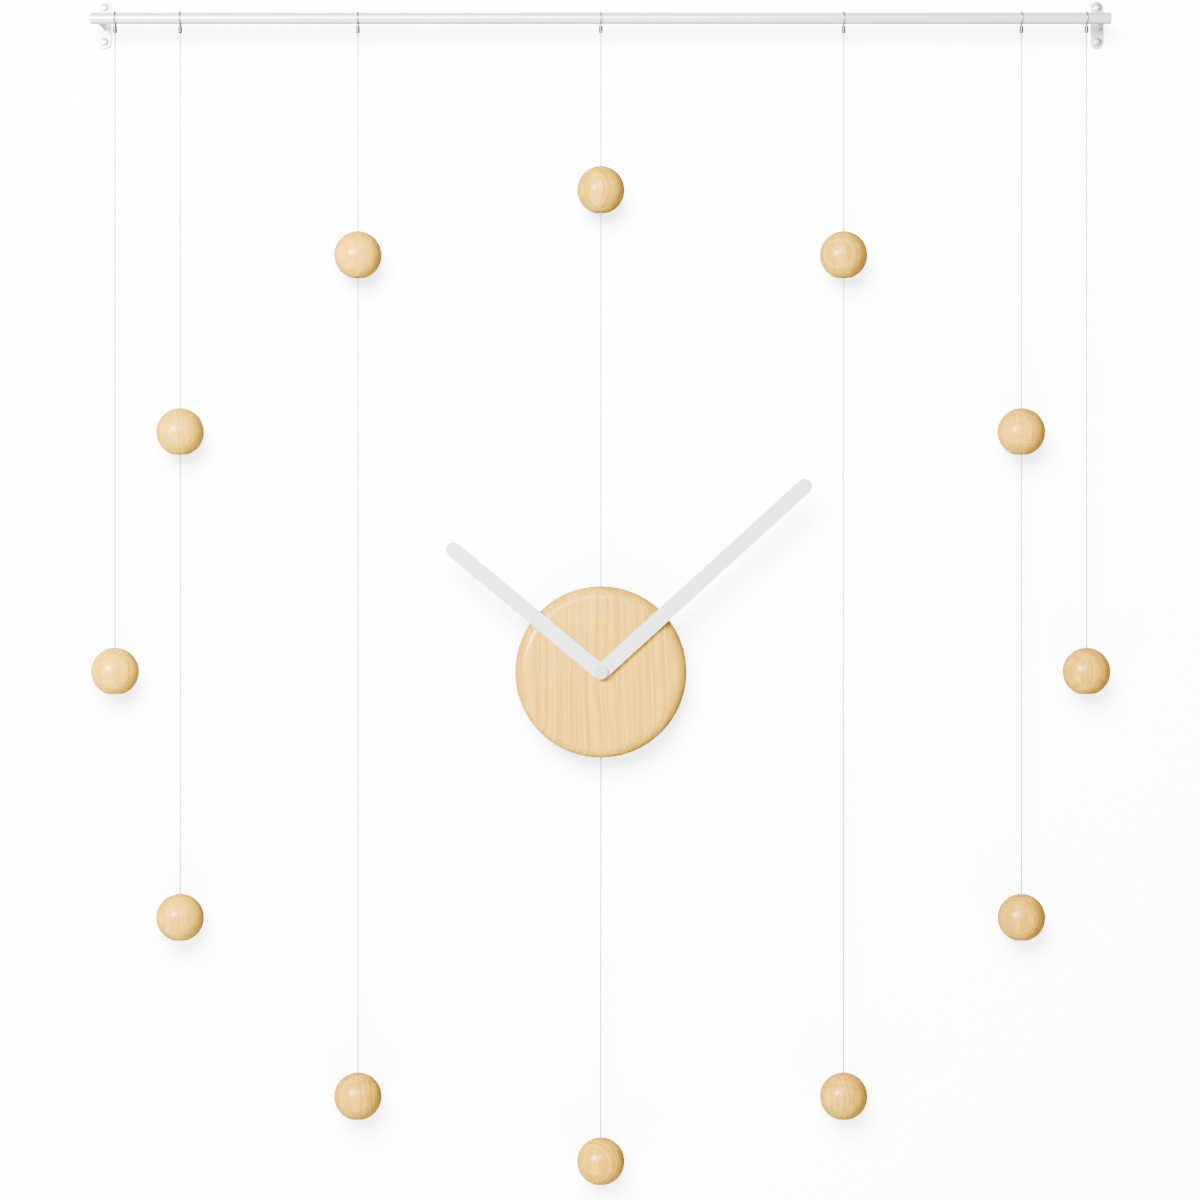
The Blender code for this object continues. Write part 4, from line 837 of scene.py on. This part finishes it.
def make_cap():
    """The round cap over the shaft, with a shallow dish in its face."""
    box_low, box_high = low("cap"), high("cap")
    radius, height, edge = (box_high.x - box_low.x) / 2, box_high.y - box_low.y, 0.0004
    profile = [(0, height - 0.00012), (0.0028, height - 0.00012), (0.0029, height)]
    profile += arc((radius - edge, height - edge), edge, 90, 0, 6)
    profile += [(radius, 0.0001), (radius - 0.0001, 0), (0.0017, 0), (0.0017, 0.0009), (0, 0.0009)]
    cap = turned("round_cap", profile, 72, (SHAFT.x, box_high.y, SHAFT.z), FORWARD, 25)
    link(cap, CAP_LACQUER, "minute_works", "hand_lacquer", "cap")


# ---------------------------------------------------------------- movement


def make_battery():
    """A plain cell: the sleeve, the metal end with its nub and the flat end."""
    box_low, box_high, centre = low("battery"), high("battery"), middle("battery")
    radius = (box_high.z - box_low.z) / 2
    half = (box_high.x - NUB_LENGTH - box_low.x) / 2
    at = ((box_high.x - NUB_LENGTH + box_low.x) / 2, centre.y, centre.z)
    edge, nub_edge, sunk = 0.0005, 0.0003, 0.0002
    rim, tip = radius - 0.0014, half + NUB_LENGTH
    sleeve = [(rim, half)] + arc((radius - edge, half - edge), edge, 90, 0, 5)
    sleeve += arc((radius - edge, edge - half), edge, 0, -90, 5) + [(rim, -half)]
    link(turned("cell_sleeve", sleeve, 64, at, SIDEWAYS), SLEEVE, "line_12", "battery_sleeve", "battery")
    metal = [(0, tip)] + arc((NUB_RADIUS - nub_edge, tip - nub_edge), nub_edge, 90, 0, 4)
    metal += [(NUB_RADIUS, half - sunk), (rim, half - sunk), (rim, sunk - half), (0, sunk - half)]
    link(turned("cell_ends", metal, 48, at, SIDEWAYS), ZINC, "line_12", "zinc_screw", "battery")


def make_cover():
    """The rear cover with its battery opening and the hole for the knob's arbor."""
    box_low, box_high, centre = low("case_back"), high("case_back"), middle("case_back")
    half = (box_high.x - box_low.x) / 2
    cell, knob = middle("battery"), middle("set_knob")
    rings = [
        round_cornered(0, centre.z, half, half, 0.003, 8),
        round_cornered(0, cell.z, *BATTERY_OPENING, 4),
        round_ring(knob.x, knob.z, 0.0010, 24),
    ]
    cover = plate("rear_cover", rings, box_high.y - COVER_THICKNESS, box_high.y, 0.0002)
    link(cover, CASE, "line_12", "case_plastic", "case_back")


def make_knob():
    """The setting knob with a knurled rim."""
    box_low, box_high, centre = low("set_knob"), high("set_knob"), middle("set_knob")
    radius = (box_high.z - box_low.z) / 2
    outline = []
    steps = 6 * KNOB_RIDGES
    for k in range(steps):
        turn = 2 * math.pi * k / steps
        reach = radius * (0.965 + 0.035 * math.cos(KNOB_RIDGES * turn))
        outline.append((centre.x + reach * math.cos(turn), centre.z + reach * math.sin(turn)))
    knob = plate("knurled_knob", [outline], box_low.y, box_high.y, 0.0003)
    link(knob, CASE, "setting_works", "case_plastic", "set_knob")


def make_movement_screw(side):
    """A short screw that holds the movement's ear to the wood."""
    node_name = f"movement_screw_{side}"
    box_low, box_high, centre = low(node_name), high(node_name), middle(node_name)
    radius, height = MOVEMENT_SCREW_HEAD
    seat = box_high.y - height
    at, edge = (centre.x, seat, centre.z), 0.0006
    profile = [(0, height)] + arc((radius - edge, height - edge), edge, 90, 0, 6) + [(radius, 0), (0, 0)]
    head = turned(f"head_{node_name}", profile, 40, at, BACKWARD)
    link(head, ZINC, "line_12", "zinc_screw", node_name)
    cut(head, recess_tools(centre, radius * 0.62, 0.0006, box_high.y + 0.0003, 0.0010, 1))
    shank_radius, pitch = MOVEMENT_SCREW_THREAD
    shank = threaded_shank(f"thread_{node_name}", shank_radius, seat - box_low.y, pitch, at, -1)
    link(shank, ZINC, "line_12", "zinc_screw", node_name)


def finish_inner_parts():
    """The movement's own nodes keep their shape and get their real finishes."""
    finishes = {
        "case_front": CASE,
        "middle_plate": BRASS,
        "contact_plus": BRASS,
        "contact_minus": BRASS,
        "circuit_board": BOARD,
        "crystal": ZINC,
        "coil": WINDING,
        "coil_core": IRON,
        "stator": IRON,
        "rotor": MAGNET,
    }
    for wheel in ("intermediate", "fourth", "third", "centre", "minute", "hour"):
        finishes[f"{wheel}_wheel"] = ACETAL
    for name, finish in finishes.items():
        mesh = bpy.data.objects[name].data
        mesh.materials.clear()
        mesh.materials.append(finish)


# ---------------------------------------------------------------- stage


def stage_plane(name, corners, material):
    shape = bmesh.new()
    shape.faces.new([shape.verts.new(corner) for corner in corners])
    mesh = bpy.data.meshes.new(name)
    shape.to_mesh(mesh)
    shape.free()
    thing = bpy.data.objects.new(name, mesh)
    mesh.materials.append(material)
    bpy.context.scene.collection.objects.link(thing)
    return thing


def wall_material():
    """White wall, seen only from the room. It looks much brighter than it lights the clock."""
    made = bpy.data.materials.new("white_wall")
    made.use_nodes = True
    tree = made.node_tree
    tree.nodes.clear()
    paint = node(tree, "ShaderNodeBsdfDiffuse", {"Color": (*[WALL_PAINT] * 3, 1)})
    seen = node(tree, "ShaderNodeBsdfDiffuse", {"Color": (*[WALL_SEEN] * 3, 1)})
    path = node(tree, "ShaderNodeLightPath")
    faces = {0: path.outputs["Is Camera Ray"], 1: paint.outputs[0], 2: seen.outputs[0]}
    face = node(tree, "ShaderNodeMixShader", faces)
    clear = node(tree, "ShaderNodeBsdfTransparent")
    back = node(tree, "ShaderNodeNewGeometry")
    sides = {0: back.outputs["Backfacing"], 1: face.outputs[0], 2: clear.outputs[0]}
    both = node(tree, "ShaderNodeMixShader", sides)
    output = node(tree, "ShaderNodeOutputMaterial")
    tree.links.new(both.outputs[0], output.inputs["Surface"])
    return made


def make_stage():
    """The wall, half a millimetre behind the plates, and a floor well below the clock."""
    y, floor_z, top = 0.0005, -1.5, 2.5
    front = y - 5
    wall_corners = [(-4, y, floor_z), (4, y, floor_z), (4, y, top), (-4, y, top)]
    floor_corners = [(-4, front, floor_z), (4, front, floor_z), (4, y, floor_z), (-4, y, floor_z)]
    wall = stage_plane("wall", wall_corners, wall_material())
    floor = textured("pale_floor", (0.70, 0.70, 0.70), (0.76, 0.76, 0.76), 0.004, (0.5, 0.6))
    stage_plane("floor", floor_corners, floor)
    return wall


add_camera()
make_lines()
make_rod()
for side in ("left", "right"):
    make_bracket(side)
    make_wall_screw(f"wall_screw_{side}_top")
    make_wall_screw(f"wall_screw_{side}_bottom")
    make_movement_screw(side)
make_disc()
make_hand("long_hand", "minute_hand", "minute_works", 0.0017)
make_hand("short_hand", "hour_hand", "hour_works", 0.0028)
make_cap()
make_battery()
make_cover()
make_knob()
finish_inner_parts()
add_lights(make_stage())
